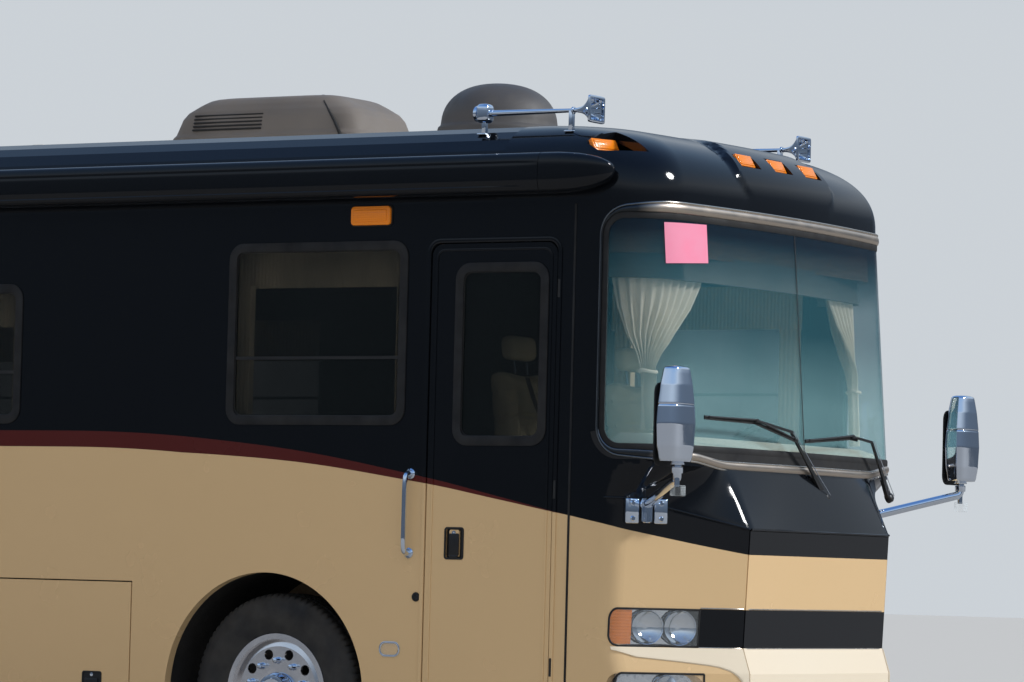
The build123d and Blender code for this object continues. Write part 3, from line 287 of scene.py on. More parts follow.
def coach_paint(name):
    """Black over tan with the climbing edge, its stripe and the dark band across the nose."""
    paint = new_finish(name, TAN, 0.22, Specular_IOR_Level=0.32)
    x, y, z = axes(paint)
    edge = edge_height(paint, y)
    stripe = spread(paint, y, 0.0, 0.085, CAP_JOINT_Y, -3.0)
    middle = sums(paint, "LESS_THAN", sums(paint, "ABSOLUTE", x), FACET_SEAM_X)
    is_nose = sums(paint, "LESS_THAN", y, BAND_REAR_Y)
    on_bumper = sums(paint, "MULTIPLY", is_nose, sums(paint, "LESS_THAN", z, CREAM_TOP))
    cream = sums(paint, "MULTIPLY", middle, on_bumper)
    flecks = spread(paint, noise(paint, 900, 1.0), 0.97, 1.03, 0.3, 0.7)
    warmth = spread(paint, noise(paint, 0.7, 2.0), 0, 0.10)
    color = mix_color(paint, cream, (*TAN, 1), (*CREAM, 1))
    color = mix_color(paint, warmth, color, (0.78, 0.56, 0.33, 1))
    color = node(paint, "ShaderNodeVectorMath", [(0, color), (1, flecks)], operation="MULTIPLY").outputs[0]
    under_stripe = sums(paint, "GREATER_THAN", z, sums(paint, "SUBTRACT", edge, stripe))
    color = mix_color(paint, under_stripe, color, (*MAROON, 1))
    in_band = sums(paint, "MULTIPLY", sums(paint, "GREATER_THAN", z, BAND[0]),
                   sums(paint, "LESS_THAN", z, BAND[1]))
    dark = sums(paint, "MAXIMUM", sums(paint, "GREATER_THAN", z, edge),
                sums(paint, "MULTIPLY", is_nose, in_band))
    color = mix_color(paint, dark, color, (*BLACK, 1))
    shade(paint, "Base Color", color)
    shade(paint, "Metallic", spread(paint, dark, 0.10, 0.0, 0, 1))
    wear = spread(paint, noise(paint, 3.0), 0.0, 0.04)
    shade(paint, "Roughness", sums(paint, "ADD", spread(paint, dark, 0.24, 0.06, 0, 1), wear))
    relief(paint, noise(paint, 1.6, 1.0), 0.03, 0.01)
    return paint


paint = coach_paint("coach_paint")
print("paint edge:", len(PAINT_EDGE), "points")

# %% [markdown]
# Every other finish starts the same way and then gets the one thing the eye knows it by: smudges on
# chrome, grain in vinyl and wood, ribs in cloth, dust on rubber. Plain colours would be quicker, but a
# real surface is never one colour, so each wanders a little between two.


# %% Metals and glass
def make_chrome(name, color=(0.76, 0.83, 0.93), low=0.02, high=0.08):
    chrome = new_finish(name, color, low, metallic=1.0)
    uneven_gloss(chrome, low, high, 9.0)
    relief(chrome, noise(chrome, 14.0, 2.0), 0.03, 0.004)
    return chrome


def make_painted_metal(name, first, second, roughness=0.45, grain=40.0):
    metal = new_finish(name, first, roughness)
    mottle(metal, first, second, 2.5)
    uneven_gloss(metal, roughness * 0.8, min(roughness * 1.3, 1), 6.0)
    relief(metal, noise(metal, grain, 3.0), 0.12, 0.002)
    return metal


def make_moulding(name, color, side_color, low, high):
    """A bright moulding that goes dark where it turns from the nose to the side."""
    moulding = make_chrome(name, color, low, high)
    share = spread(moulding, sums(moulding, "ABSOLUTE", axes(moulding)[0]), 0, 1, 1.16, 1.24)
    shade(moulding, "Base Color", mix_color(moulding, share, (*color, 1), (*side_color, 1)))
    return moulding


chrome = make_chrome("bright_chrome")
bronze = make_moulding("bronze_moulding", (0.60, 0.51, 0.42), (0.05, 0.055, 0.06), 0.30, 0.40)
champagne = make_moulding("champagne_line", (0.60, 0.54, 0.46), (0.16, 0.17, 0.18), 0.18, 0.30)
polished = make_chrome("polished_wheel", (0.78, 0.78, 0.80), 0.10, 0.24)
chassis_paint = make_painted_metal("chassis_paint", (0.012, 0.012, 0.013), (0.030, 0.028, 0.026), 0.5)
tray_steel = make_painted_metal("tray_steel", (0.16, 0.16, 0.165), (0.22, 0.21, 0.20), 0.5)
cast_metal = make_painted_metal("cast_block", (0.11, 0.12, 0.12), (0.17, 0.16, 0.14), 0.55, 120.0)
print("metals ready")


def make_glass(name, tint):
    """Glass with a tint and the gloss of a wiped pane."""
    glass = new_finish(name, tint, 0.02, Specular_IOR_Level=0.38)
    mottle(glass, tint, tuple(c * 0.85 for c in tint), 0.8)
    uneven_gloss(glass, 0.01, 0.05, 2.0)
    return glass


def cover_view(glass, cover):
    """How much the tint covers the view: more at a slant, and little for the light that falls in."""
    edge = node(glass, "ShaderNodeLayerWeight", [("Blend", 0.25)]).outputs["Facing"]
    share = sums(glass, "MAXIMUM", cover, sums(glass, "MULTIPLY", edge, 0.9))
    rays = node(glass, "ShaderNodeLightPath").outputs
    lights_inside = sums(glass, "MAXIMUM", rays["Is Shadow Ray"], rays["Is Diffuse Ray"])
    shade(glass, "Alpha", sums(glass, "MULTIPLY", share, spread(glass, lights_inside, 1, 0.08, 0, 1)))


def shade_band(glass, tint, cover):
    """The windshield's dark band along its top, and low down a lighter painted reflection streaked with
    wiper marks.
    """
    x, y, z = axes(glass)
    top = spread(glass, z, 0, 1, 2.60, 2.88)
    # Low down the glass is painted lighter: a painted reflection, with arcs of wiper marks in it.
    dust = spread(glass, z, 1, 0, 2.05, 2.42)
    arcs = noise(glass, 4.0, 6.0, stretch(glass, (0.6, 0.6, 2.4)))
    low = mix_color(glass, arcs, (0.14, 0.30, 0.33, 1), (0.22, 0.42, 0.45, 1))
    color = mix_color(glass, dust, (*tint, 1), low)
    shade(glass, "Base Color", mix_color(glass, top, color, (0.004, 0.014, 0.026, 1)))
    cover_view(glass, spread(glass, top, cover, 0.80, 0, 1))


SCREEN_TINT, SCREEN_COVER, SIDE_TINT, SIDE_COVER = (0.030, 0.120, 0.155), 0.34, (0.006, 0.008, 0.008), 0.70
screen_glass = make_glass("screen_glass", SCREEN_TINT)
shade_band(screen_glass, SCREEN_TINT, SCREEN_COVER)
side_glass = make_glass("side_glass", SIDE_TINT)
smear = spread(side_glass, noise(side_glass, 3.0, 5.0, stretch(side_glass, (1, 1, 0.25))), 0.90, 1.10)
cover_view(side_glass, sums(side_glass, "MULTIPLY", SIDE_COVER, smear))
print("glass ready")


# %% [markdown]
# Soft and matt finishes come next. Each has one maker, so a new colour of vinyl or cloth is one line.

# %% Rubber, plastics and cab finishes
def make_rubber(name, color=(0.014, 0.014, 0.015), dust=(0.045, 0.042, 0.038)):
    rubber = new_finish(name, color, 0.75)
    mottle(rubber, color, dust, 7.0, 6.0)
    uneven_gloss(rubber, 0.62, 0.88, 10.0)
    relief(rubber, noise(rubber, 160.0, 3.0), 0.25, 0.0015)
    return rubber


def make_grained(name, first, second, roughness, cell, depth, coat=0.0):
    """A moulded or leather surface with small rounded cells."""
    grained = new_finish(name, first, roughness, coat=coat)
    mottle(grained, first, second, 3.0)
    cells = node(grained, "ShaderNodeTexVoronoi", [("Vector", place(grained)), ("Scale", cell)])
    relief(grained, cells.outputs["Distance"], 0.35, depth)
    uneven_gloss(grained, roughness * 0.85, min(roughness * 1.2, 1), 12.0)
    return grained


def make_wood(name, light, dark, axis_scale):
    """Varnished wood: noise drawn out along the grain."""
    wood = new_finish(name, light, 0.35, coat=0.4)
    grain = noise(wood, 5.0, 8.0, stretch(wood, axis_scale))
    shade(wood, "Base Color", mix_color(wood, spread(wood, grain, 0, 1), (*light, 1), (*dark, 1)))
    relief(wood, grain, 0.10, 0.001)
    return wood


def make_cloth(name, first, second, threads):
    """Woven cloth: two crossed waves for the threads."""
    cloth = new_finish(name, first, 0.85, Sheen_Weight=0.2)
    mottle(cloth, first, second, 5.0)
    x, y, z = axes(cloth)
    warp = sums(cloth, "SINE", sums(cloth, "MULTIPLY", sums(cloth, "ADD", x, y), threads))
    weft = sums(cloth, "SINE", sums(cloth, "MULTIPLY", z, threads))
    relief(cloth, sums(cloth, "MULTIPLY", warp, weft), 0.3, 0.0008)
    return cloth


tyre_rubber = make_rubber("tyre_rubber")
seal_rubber = make_rubber("seal_rubber", (0.007, 0.007, 0.008), (0.016, 0.015, 0.014))
liner_black = make_grained("liner_black", (0.012, 0.012, 0.012), (0.030, 0.028, 0.026), 0.8, 90, 0.002)
wiper_black = make_painted_metal("wiper_black", (0.008, 0.008, 0.009), (0.018, 0.018, 0.018), 0.38, 200.0)
shroud = make_grained("roof_shroud", (0.155, 0.135, 0.118), (0.20, 0.178, 0.158), 0.62, 260, 0.002)
# The dome is darker than the air conditioners' shroud: partly its own grey, partly painted shade.
dome_grey = make_grained("dome_grey", (0.060, 0.057, 0.056), (0.085, 0.080, 0.078), 0.55, 260, 0.002)
roof_skin = make_grained("roof_membrane", (0.62, 0.60, 0.56), (0.72, 0.70, 0.67), 0.6, 60, 0.002)
dash_vinyl = make_grained("dash_vinyl", (0.66, 0.66, 0.52), (0.74, 0.73, 0.60), 0.55, 320, 0.001)
grip_black = make_grained("wheel_grip", (0.020, 0.018, 0.016), (0.035, 0.032, 0.030), 0.5, 400, 0.0008)
leather = make_grained("seat_leather", (0.70, 0.63, 0.40), (0.78, 0.72, 0.50), 0.42, 220, 0.0012, coat=0.1)
cabinet_wood = make_wood("cabinet_wood", (0.30, 0.16, 0.07), (0.14, 0.06, 0.025), (1, 12, 12))
deck_wood = make_wood("deck_board", (0.42, 0.33, 0.24), (0.30, 0.22, 0.15), (8, 1, 8))
curtain_cloth = make_cloth("curtain_cloth", (0.78, 0.74, 0.60), (0.70, 0.66, 0.53), 2600)
valance_cloth = make_cloth("valance_cloth", (0.62, 0.52, 0.34), (0.52, 0.43, 0.27), 1900)
print("cab finishes ready")

# %% [markdown]
# Lamps are lenses over bright bowls. An amber or red lens could be glowing, but parked with its lamps
# off it only shows its own colour, with fine ribs moulded in the back to break up the light.


# %% Lamp finishes
def make_lens(name, color, see_through, rib):
    lens = new_finish(name, color, 0.10, coat=0.15, Transmission_Weight=see_through, IOR=1.45)
    x, y, z = axes(lens)
    across = sums(lens, "ADD", x, y)
    ribs = sums(lens, "MULTIPLY", sums(lens, "SINE", sums(lens, "MULTIPLY", across, rib)), 0.5)
    rows = sums(lens, "SINE", sums(lens, "MULTIPLY", z, rib))
    shade(lens, "Base Color",
          mix_color(lens, spread(lens, ribs, 0, 0.25, -1, 1), (*color, 1),
                    tuple(c * 0.6 for c in color) + (1,)))
    relief(lens, sums(lens, "ADD", ribs, rows), 0.25, 0.002)
    return lens


amber_lens = make_lens("amber_lens", (0.93, 0.26, 0.012), 0.0, 520)
turn_lens = make_lens("turn_lens", (0.66, 0.19, 0.008), 0.0, 420)
red_lens = make_lens("red_lens", (0.55, 0.012, 0.010), 0.0, 420)
clear_lens = new_finish("clear_lens", (0.80, 0.86, 0.90), 0.03)
facing = node(clear_lens, "ShaderNodeLayerWeight", [("Blend", 0.2)]).outputs["Facing"]
shade(clear_lens, "Alpha", spread(clear_lens, facing, 0.05, 0.6, 0, 1))
mottle(clear_lens, (0.80, 0.86, 0.90), (0.70, 0.78, 0.82), 30.0)
relief(clear_lens, noise(clear_lens, 60.0, 2.0), 0.15, 0.002)
reflector = make_chrome("reflector_bowl", (0.80, 0.83, 0.86), 0.04, 0.10)
cells = node(reflector, "ShaderNodeTexVoronoi",
             [("Vector", stretch(reflector, (55, 55, 24))), ("Scale", 1.0)])
relief(reflector, cells.outputs["Distance"], 0.12, 0.003)
print("lamp finishes ready")

# %% [markdown]
# Each solid has one material slot in its mesh, so a finish is given by putting it in that slot. The
# table below names the solids of each finish once, and anything left over would be printed.

# %% Dress the solids
bay_doors = [f"bay_door_{side}_{number}" for side in SIDES for number in (1, 2, 3)]
finish_of = {
    paint: ["front_cap", "front_fascia", "side_wall_kerb", "side_wall_street", "rear_cap", "roof",
            "awning_case", "entry_door", "nose_door", "engine_door", "slide_room", *bay_doors],
    screen_glass: ["windshield"],
    side_glass: ["side_windows", "entry_door_glass", "slide_room_glass"],
    clear_lens: ["lamp_lenses"],
    reflector: ["lamp_bowls"],
    amber_lens: ["amber_lamps"],
    red_lens: ["tail_lamps"],
    deck_wood: ["floor_deck", "entry_steps"],
    liner_black: ["wheel_housings"],
    wiper_black: ["wipers"],
    tray_steel: ["storage_trays"],
    chassis_paint: ["chassis_frame", "hitch_receiver", "front_axle", "rear_axle", "suspension",
                    "seat_pedestals", "knuckle_kerb", "knuckle_street"],
    cast_metal: ["engine", "generator"],
    polished: ["front_rim_kerb", "front_rim_street", "rear_rims_kerb", "rear_rims_street"],
    tyre_rubber: ["front_tyre_kerb", "front_tyre_street", "rear_tyres_kerb", "rear_tyres_street"],
    dome_grey: ["satellite_dome"],
    shroud: ["air_conditioners"],
    chrome: ["air_horns", "mirrors", "grab_handle"],
    dash_vinyl: ["dashboard"],
    grip_black: ["steering_wheel"],
    leather: ["cab_seats"],
    cabinet_wood: ["overhead_cabinet"],
    curtain_cloth: ["curtains"],
}
plain = set(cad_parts)
for finish, names in finish_of.items():
    for name in names:
        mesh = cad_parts[name].data
        mesh.materials.clear()
        mesh.materials.append(finish)
        plain.discard(name)
print("solids without a finish:", sorted(plain))

# %% [markdown]
# New pieces start as small bmeshes. A few makers cover most of them: a rounded block, a rounded plate,
# a turned part, a bent bar, and a sheet whose corners follow a rule. Each could be modelled by hand
# in edit mode, but a maker gives the same clean edges every time and is easy to place.


# %% Mesh makers
def new_block(size, radius=0.0, segments=2):
    """A box with rounded edges, about the origin."""
    bm = bmesh.new()
    bmesh.ops.create_cube(bm, size=1)
    bmesh.ops.scale(bm, vec=size, verts=bm.verts)
    if radius:
        edges = bm.edges[:]
        bmesh.ops.bevel(bm, geom=edges, offset=radius, segments=segments, profile=0.5, affect="EDGES",
                        material=-1)
    return bm


def new_plate(width, height, depth, corner, segments=5, edge=0.0):
    """A plate with rounded corners in X and Y, rising from 0 to its depth in Z."""
    bm = bmesh.new()
    bmesh.ops.create_grid(bm, x_segments=1, y_segments=1, size=0.5)
    bmesh.ops.scale(bm, vec=(width, height, 1), verts=bm.verts)
    if corner:
        bmesh.ops.bevel(bm, geom=bm.verts[:], offset=corner, segments=segments, profile=0.5,
                        affect="VERTICES", material=-1)
    top = bmesh.ops.extrude_face_region(bm, geom=bm.faces[:])["geom"]
    top = [part for part in top if isinstance(part, bmesh.types.BMVert)]
    bmesh.ops.translate(bm, vec=(0, 0, depth), verts=top)
    bmesh.ops.recalc_face_normals(bm, faces=bm.faces)
    if edge:
        rim = [e for e in bm.edges if all(v in top for v in e.verts)]
        bmesh.ops.bevel(bm, geom=rim, offset=edge, segments=2, profile=0.5, affect="EDGES", material=-1)
    return bm


def new_turned(outline, steps=32):
    """A part turned about Z from points of radius and height."""
    bm = bmesh.new()
    verts = [bm.verts.new((radius, 0, height)) for radius, height in outline]
    edges = [bm.edges.new(pair) for pair in zip(verts, verts[1:])]
    bmesh.ops.spin(bm, geom=verts + edges, axis=(0, 0, 1), cent=(0, 0, 0), angle=2 * pi, steps=steps,
                   use_merge=True, use_duplicate=False)
    bmesh.ops.remove_doubles(bm, verts=bm.verts, dist=0.00001)
    bmesh.ops.recalc_face_normals(bm, faces=bm.faces)
    return bm


def new_bar(points, radius, sides=10, smooth=False, ends=None):
    """A round bar along points, straight from one to the next or on a smooth curve."""
    curve = bpy.data.curves.new("bar", "CURVE")
    curve.dimensions = "3D"
    curve.bevel_depth = radius
    curve.bevel_resolution = max(sides // 2 - 2, 1)
    curve.use_fill_caps = True
    line = curve.splines.new("NURBS" if smooth else "POLY")
    line.points.add(len(points) - 1)
    for index, point in enumerate(points):
        line.points[index].co = (*point, 1)
        if ends:
            line.points[index].radius = ends[0] + (ends[1] - ends[0]) * index / (len(points) - 1)
    if smooth:
        line.order_u = 3
        line.use_endpoint_u = True
        line.resolution_u = 8
    holder = bpy.data.objects.new("bar", curve)
    mesh = bpy.data.meshes.new_from_object(holder)
    bm = bmesh.new()
    bm.from_mesh(mesh)
    bpy.data.objects.remove(holder)
    bpy.data.curves.remove(curve)
    bpy.data.meshes.remove(mesh)
    return bm


def new_sheet(columns, rows, rule):
    """A grid of faces whose corners a rule moves into place, from u and v between 0 and 1."""
    bm = bmesh.new()
    bmesh.ops.create_grid(bm, x_segments=columns, y_segments=rows, size=0.5)
    for vert in bm.verts:
        vert.co = rule(vert.co.x + 0.5, vert.co.y + 0.5)
    return bm


def thickened(bm, thickness):
    """The same sheet with a wall, once its faces all look the same way."""
    bmesh.ops.recalc_face_normals(bm, faces=bm.faces)
    bmesh.ops.solidify(bm, geom=bm.faces[:], thickness=thickness)
    return bm


def moved(bm, matrix):
    """The same bmesh after a move or a turn."""
    bmesh.ops.transform(bm, matrix=matrix, verts=bm.verts)
    return bm


def put(place, turn=(0, 0, 0)):
    """A matrix that turns about x, y, z in degrees and then moves to a place."""
    about_x, about_y, about_z = (Matrix.Rotation(radians(a), 4, axis) for a, axis in zip(turn, "XYZ"))
    return Matrix.Translation(place) @ about_z @ about_y @ about_x


def facing_out(place, out):
    """A matrix that stands a part drawn along Z at a place, pointing outwards."""
    return Matrix.Translation(place) @ out.to_track_quat("Z", "Y").to_matrix().to_4x4()


def joined(parts):
    """One bmesh made of several; the others are used up."""
    whole = bmesh.new()
    for part in parts:
        mesh = bpy.data.meshes.new("part")
        part.to_mesh(mesh)
        part.free()
        whole.from_mesh(mesh)
        bpy.data.meshes.remove(mesh)
    return whole


def both(bm):
    """Adds the mirror image on the other side of the vehicle."""
    twin = bmesh.new()
    mesh = bpy.data.meshes.new("part")
    bm.to_mesh(mesh)
    twin.from_mesh(mesh)
    bpy.data.meshes.remove(mesh)
    bmesh.ops.scale(twin, vec=(-1, 1, 1), verts=twin.verts)
    bmesh.ops.reverse_faces(twin, faces=twin.faces)
    return joined([bm, twin])


def add_piece(name, bm, finish, body="coach", sharp=35, replaces=(), outward=True):
    """Makes the bmesh a piece with its finish, riding on its body."""
    if outward:
        bmesh.ops.remove_doubles(bm, verts=bm.verts, dist=0.00002)
        bmesh.ops.recalc_face_normals(bm, faces=bm.faces)
    mesh = bpy.data.meshes.new(name)
    bm.to_mesh(mesh)
    bm.free()
    mesh.materials.append(finish)
    mesh.shade_smooth()
    mesh.set_sharp_from_angle(angle=radians(sharp))
    piece = bpy.data.objects.new(name, mesh)
    bpy.context.scene.collection.objects.link(piece)
    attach(piece, body)
    if replaces:
        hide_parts(*replaces)
    return piece


def soft_square(u, power):
    """A point on a square with soft corners, from -1 to 1 each way; a smaller power makes it squarer."""
    x, y = cos(2 * pi * u), sin(2 * pi * u)
    return abs(x) ** power * (1 if x > 0 else -1), abs(y) ** power * (1 if y > 0 else -1)


def smooth_step(value, low, high):
    """0 below low, 1 above high, and an easy slope between."""
    share = min(max((value - low) / (high - low), 0), 1)
    return share * share * (3 - 2 * share)


print("makers ready")

# %% [markdown]
# The nose is faceted at the bumper and round at the windshield, and every moulding, seal and glass
# edge there follows one of those two lines. Both are written once as rules: t runs along the side
# wall from 0 to 1, round the corner to 2, over the facet to 3 and to the middle at 4.

# %% The two lines of the nose
HALF_WIDTH, GLASS_R, CORNER_R, FACET_X, FACET_R = 1.28, 7.4, 0.32, 0.748, 0.15
FACET_ANGLE = radians(41.2)
# How far the windshield's wide curve turns before the corner's tight one takes over.
CORNER_END = asin((HALF_WIDTH - CORNER_R) / (GLASS_R - CORNER_R))
CREASE_Z, CREASE_RISE, CREASE_Y, BAND_Z, BAND_Y = 1.405, 0.14, -6.102, 0.817, -6.076
SILL_Z, SILL_Y, HEADER_Z, HEADER_Y, ROOF_Z, ROOF_JOINT_Y = 1.71, -6.0, 3.02, -5.9, 3.44, -4.9
DOME_SIDE, DOME_FRONT, DOME_POWER, BEHIND_Y = 0.47, 0.90, 2.5, -4.3


def front_at(z):
    """How far forward the middle of the upper nose is at a height."""
    return SILL_Y + (HEADER_Y - SILL_Y) * (z - SILL_Z) / (HEADER_Z - SILL_Z)


def corner_centre(front, half=HALF_WIDTH):
    """The centre of the round corner of a nose that reaches forward to front."""
    corner_x = half - CORNER_R
    return corner_x, front + GLASS_R - sqrt((GLASS_R - CORNER_R) ** 2 - corner_x**2)


def round_line(t, front, back_y, half=HALF_WIDTH):
    """A point on the round line and the way it faces."""
    corner_x, corner_y = corner_centre(front, half)
    centre_y = front + GLASS_R
    end = asin(corner_x / (GLASS_R - CORNER_R))
    split = end * asin(FACET_X / GLASS_R) / CORNER_END
    if t <= 1:
        return Vector((half, back_y + (corner_y - back_y) * t)), Vector((1, 0))
    if t <= 2:
        angle = pi / 2 + (end - pi / 2) * (t - 1)
        out = Vector((sin(angle), -cos(angle)))
        return Vector((corner_x, corner_y)) + out * CORNER_R, out
    angle = end + (split - end) * (t - 2) if t <= 3 else split * (4 - t)
    out = Vector((sin(angle), -cos(angle)))
    return Vector((0, centre_y)) + out * GLASS_R, out


def facet_line(t, front, back_y):
    """A point on the faceted line."""
    corner_x = HALF_WIDTH - FACET_R
    corner_y = front + (FACET_R + sin(FACET_ANGLE) * (corner_x - FACET_X)) / cos(FACET_ANGLE)
    turn = pi / 2 - FACET_ANGLE
    end = Vector((corner_x + FACET_R * cos(turn), corner_y - FACET_R * sin(turn)))
    if t <= 1:
        return Vector((HALF_WIDTH, back_y + (corner_y - back_y) * t))
    if t <= 2:
        angle = turn * (t - 1)
        return Vector((corner_x + FACET_R * cos(angle), corner_y - FACET_R * sin(angle)))
    split = Vector((FACET_X, front))
    return end.lerp(split, t - 2) if t <= 3 else Vector((FACET_X * (4 - t), front))


def crease_point(t):
    """The crease across the nose, which climbs over the facet to the side wall."""
    flat = facet_line(t, CREASE_Y, CAP_JOINT_Y)
    return Vector((*flat, CREASE_Z + CREASE_RISE * min(max(3 - t, 0), 1)))


def wall_point(t, z):
    """A point on the upper nose between the sill and the header."""
    share = (z - SILL_Z) / (HEADER_Z - SILL_Z)
    flat, face = round_line(t, SILL_Y + (HEADER_Y - SILL_Y) * share, CAP_JOINT_Y)
    return Vector((*flat, z))


def dome_point(t, share, out=0.0):
    """A point on the brow, from the header at 0 to the flat roof at 1."""
    pull = 1 - (1 - share**DOME_POWER) ** (1 / DOME_POWER)
    flat, face = round_line(t, HEADER_Y + DOME_FRONT * pull, BEHIND_Y, HALF_WIDTH - DOME_SIDE * pull)
    lift = Vector((*(face * (1 - share**3)), share**2)).normalized()
    return Vector((*flat, HEADER_Z + share * (ROOF_Z - HEADER_Z))) + lift * out


print("middle of the sill:", [round(v, 3) for v in wall_point(4, SILL_Z)])

# %% [markdown]
# The brow over the windshield is one moulding with a raised middle section, a step on each side of it,
# and pockets for the marker lamps. The solid has the plain dome. Here a finer sheet follows the same
# dome, a rule lifts the middle, and flat cutters open the pockets.

# %% Brow and pillars
STEP_LINE = ((3.10, 0.430), (3.13, 0.469), (3.198, 0.507), (3.289, 0.486), (3.368, 0.391), (3.44, 0.26))
STEP_HEIGHT = 0.030
CAP_WALL = 0.05
SCREEN_LOW, SCREEN_HIGH, SCREEN_BACK, SCREEN_R = 1.787, 2.952, -5.535, 0.11


def line_value(points, at):
    """Reads a value off a line of points."""
    for (a, value_a), (b, value_b) in zip(points, points[1:]):
        if at <= b:
            return value_a + (value_b - value_a) * min(max((at - a) / (b - a), 0), 1)
    return points[-1][1]


def brow_rule(u, v):
    """The dome with its raised middle section."""
    t = 1.4 * u / 0.25 if u < 0.25 else 1.4 + 2.6 * (u - 0.25) / 0.75
    share = v**0.62
    plain = dome_point(t, share)
    edge = line_value(STEP_LINE, plain.z)
    inside = 1 - smooth_step(plain.x, edge - 0.016, edge + 0.012)
    fade = smooth_step(plain.z, 3.03, 3.34) * (1 - smooth_step(plain.z, 3.34, 3.43))
    return dome_point(t, share, STEP_HEIGHT * inside * fade)


def lower_rule(u, v):
    """The nose from the joint with the fascia, over the crease and the sill, to the header."""
    t = 4 * u
    if v <= 0.1:
        band = Vector((*facet_line(t, BAND_Y, CAP_JOINT_Y), BAND_Z))
        crease = crease_point(t)
        joint = (CREASE_Z - BAND_Z) / (crease.z - BAND_Z)
        return band.lerp(crease, joint + (1 - joint) * v / 0.1)
    if v <= 0.3:
        return crease_point(t).lerp(wall_point(t, SILL_Z), (v - 0.1) / 0.2)
    return wall_point(t, SILL_Z + (HEADER_Z - SILL_Z) * (v - 0.3) / 0.7)


def cut_opening(bm):
    """Opens the windshield: a rounded rectangle as seen from the side."""
    low, high, back = SCREEN_LOW, SCREEN_HIGH, SCREEN_BACK
    cuts = [((0, 0, low), (0, 0, 1)), ((0, 0, high), (0, 0, 1)), ((0, back, 0), (0, 1, 0))]
    corners = [(low + SCREEN_R, -1), (high - SCREEN_R, 1)]
    for z, way in corners:
        for degrees in (15, 30, 45, 60, 75):
            out = Vector((0, cos(radians(degrees)), way * sin(radians(degrees))))
            cuts.append((Vector((0, back - SCREEN_R, z)) + out * SCREEN_R, out))
    for where, across in cuts:
        geom = bm.verts[:] + bm.edges[:] + bm.faces[:]
        bmesh.ops.bisect_plane(bm, geom=geom, dist=0.00001, plane_co=where, plane_no=across)

    def is_open(face):
        middle = face.calc_center_median()
        if not (low < middle.z < high and middle.y < back):
            return False
        for z, way in corners:
            off = Vector((middle.y - (back - SCREEN_R), (middle.z - z) * way))
            if off.x > 0 and off.y > 0 and off.length > SCREEN_R:
                return False
        return True

    bmesh.ops.delete(bm, geom=[face for face in bm.faces if is_open(face)], context="FACES")


def carve(piece, cutters):
    """Cuts closed bmeshes out of a piece with the Boolean modifier, and keeps the result."""
    cutter_mesh = bpy.data.meshes.new("cutter")
    whole = joined(cutters)
    bmesh.ops.recalc_face_normals(whole, faces=whole.faces)
    whole.to_mesh(cutter_mesh)
    whole.free()
    cutter = bpy.data.objects.new("cutter", cutter_mesh)
    bpy.context.scene.collection.objects.link(cutter)
    modifier = piece.modifiers.new("carve", "BOOLEAN")
    modifier.operation = "DIFFERENCE"
    modifier.solver = "EXACT"
    modifier.object = cutter
    keep_modifiers(piece)
    bpy.data.objects.remove(cutter)


def keep_modifiers(piece):
    """Puts the modifiers' result into the piece's mesh."""
    shown = piece.evaluated_get(bpy.context.evaluated_depsgraph_get())
    old = piece.data
    piece.data = bpy.data.meshes.new_from_object(shown)
    piece.data.name = old.name
    piece.modifiers.clear()
    bpy.data.meshes.remove(old)


cap = joined([new_sheet(56, 40, lower_rule)])
cut_opening(cap)
cap = both(cap)
bmesh.ops.remove_doubles(cap, verts=cap.verts, dist=0.0002)
add_piece("nose_pillars", thickened(cap, CAP_WALL), paint, replaces=("front_cap",),
          outward=False)


def ahead_of_roof(bm):
    """Keeps what lies ahead of the joint with the roof."""
    geom = bm.verts[:] + bm.edges[:] + bm.faces[:]
    bmesh.ops.bisect_plane(bm, geom=geom, dist=0.00001, plane_co=(0, ROOF_JOINT_Y, 0), plane_no=(0, 1, 0),
                           clear_outer=True)
    bmesh.ops.remove_doubles(bm, verts=bm.verts, dist=0.0002)
    bmesh.ops.recalc_face_normals(bm, faces=bm.faces)
    return bm


brow = ahead_of_roof(both(new_sheet(120, 40, brow_rule)))
bmesh.ops.solidify(brow, geom=brow.faces[:], thickness=CAP_WALL)
brow_piece = add_piece("nose_brow", brow, paint, replaces=("front_cap",), outward=False)


def top_rule(u, v):
    """The flat top behind the brow, back to the joint with the roof."""
    edge = dome_point(1 + 3 * u, 1)
    return edge.lerp(Vector((edge.x, BEHIND_Y, ROOF_Z)), v)


top = new_sheet(40, 4, top_rule)
add_piece("nose_top", ahead_of_roof(both(top)), paint, replaces=("front_cap",),
          outward=False)

# %% [markdown]
# Each marker lamp stands upright in a pocket with a level floor. The pocket could be modelled edge by
# edge, but a block whose bottom is the floor cuts it in one go.

# %% Marker lamps and their pockets
LAMP_WIDTH, LAMP_HEIGHT, LAMP_Z, LAMP_PITCH = 0.165, 0.070, 3.288, 0.334
LAMP_FACE_Y, LAMP_LEAN = -5.796, -30
CORNER_LAMP, CORNER_TURN = (1.118, -5.436, 3.306), 18
marker_places = [put((step * LAMP_PITCH, LAMP_FACE_Y, LAMP_Z)) for step in (-1, 0, 1)]
for side in (KERB, STREET):
    turn = Matrix.Rotation(radians(side * CORNER_TURN), 4, "Z")
    marker_places.append(Matrix.Translation((side * CORNER_LAMP[0], *CORNER_LAMP[1:])) @ turn
                         @ put((0, 0.004, 0)))
pockets = [moved(new_block((LAMP_WIDTH + 0.022, 0.40, 0.30)),
                 place_at @ put((0, -0.17, 0.15 - LAMP_HEIGHT / 2 - 0.004)))
           for place_at in marker_places]
carve(brow_piece, pockets)
brow_piece.data.set_sharp_from_angle(angle=radians(28))


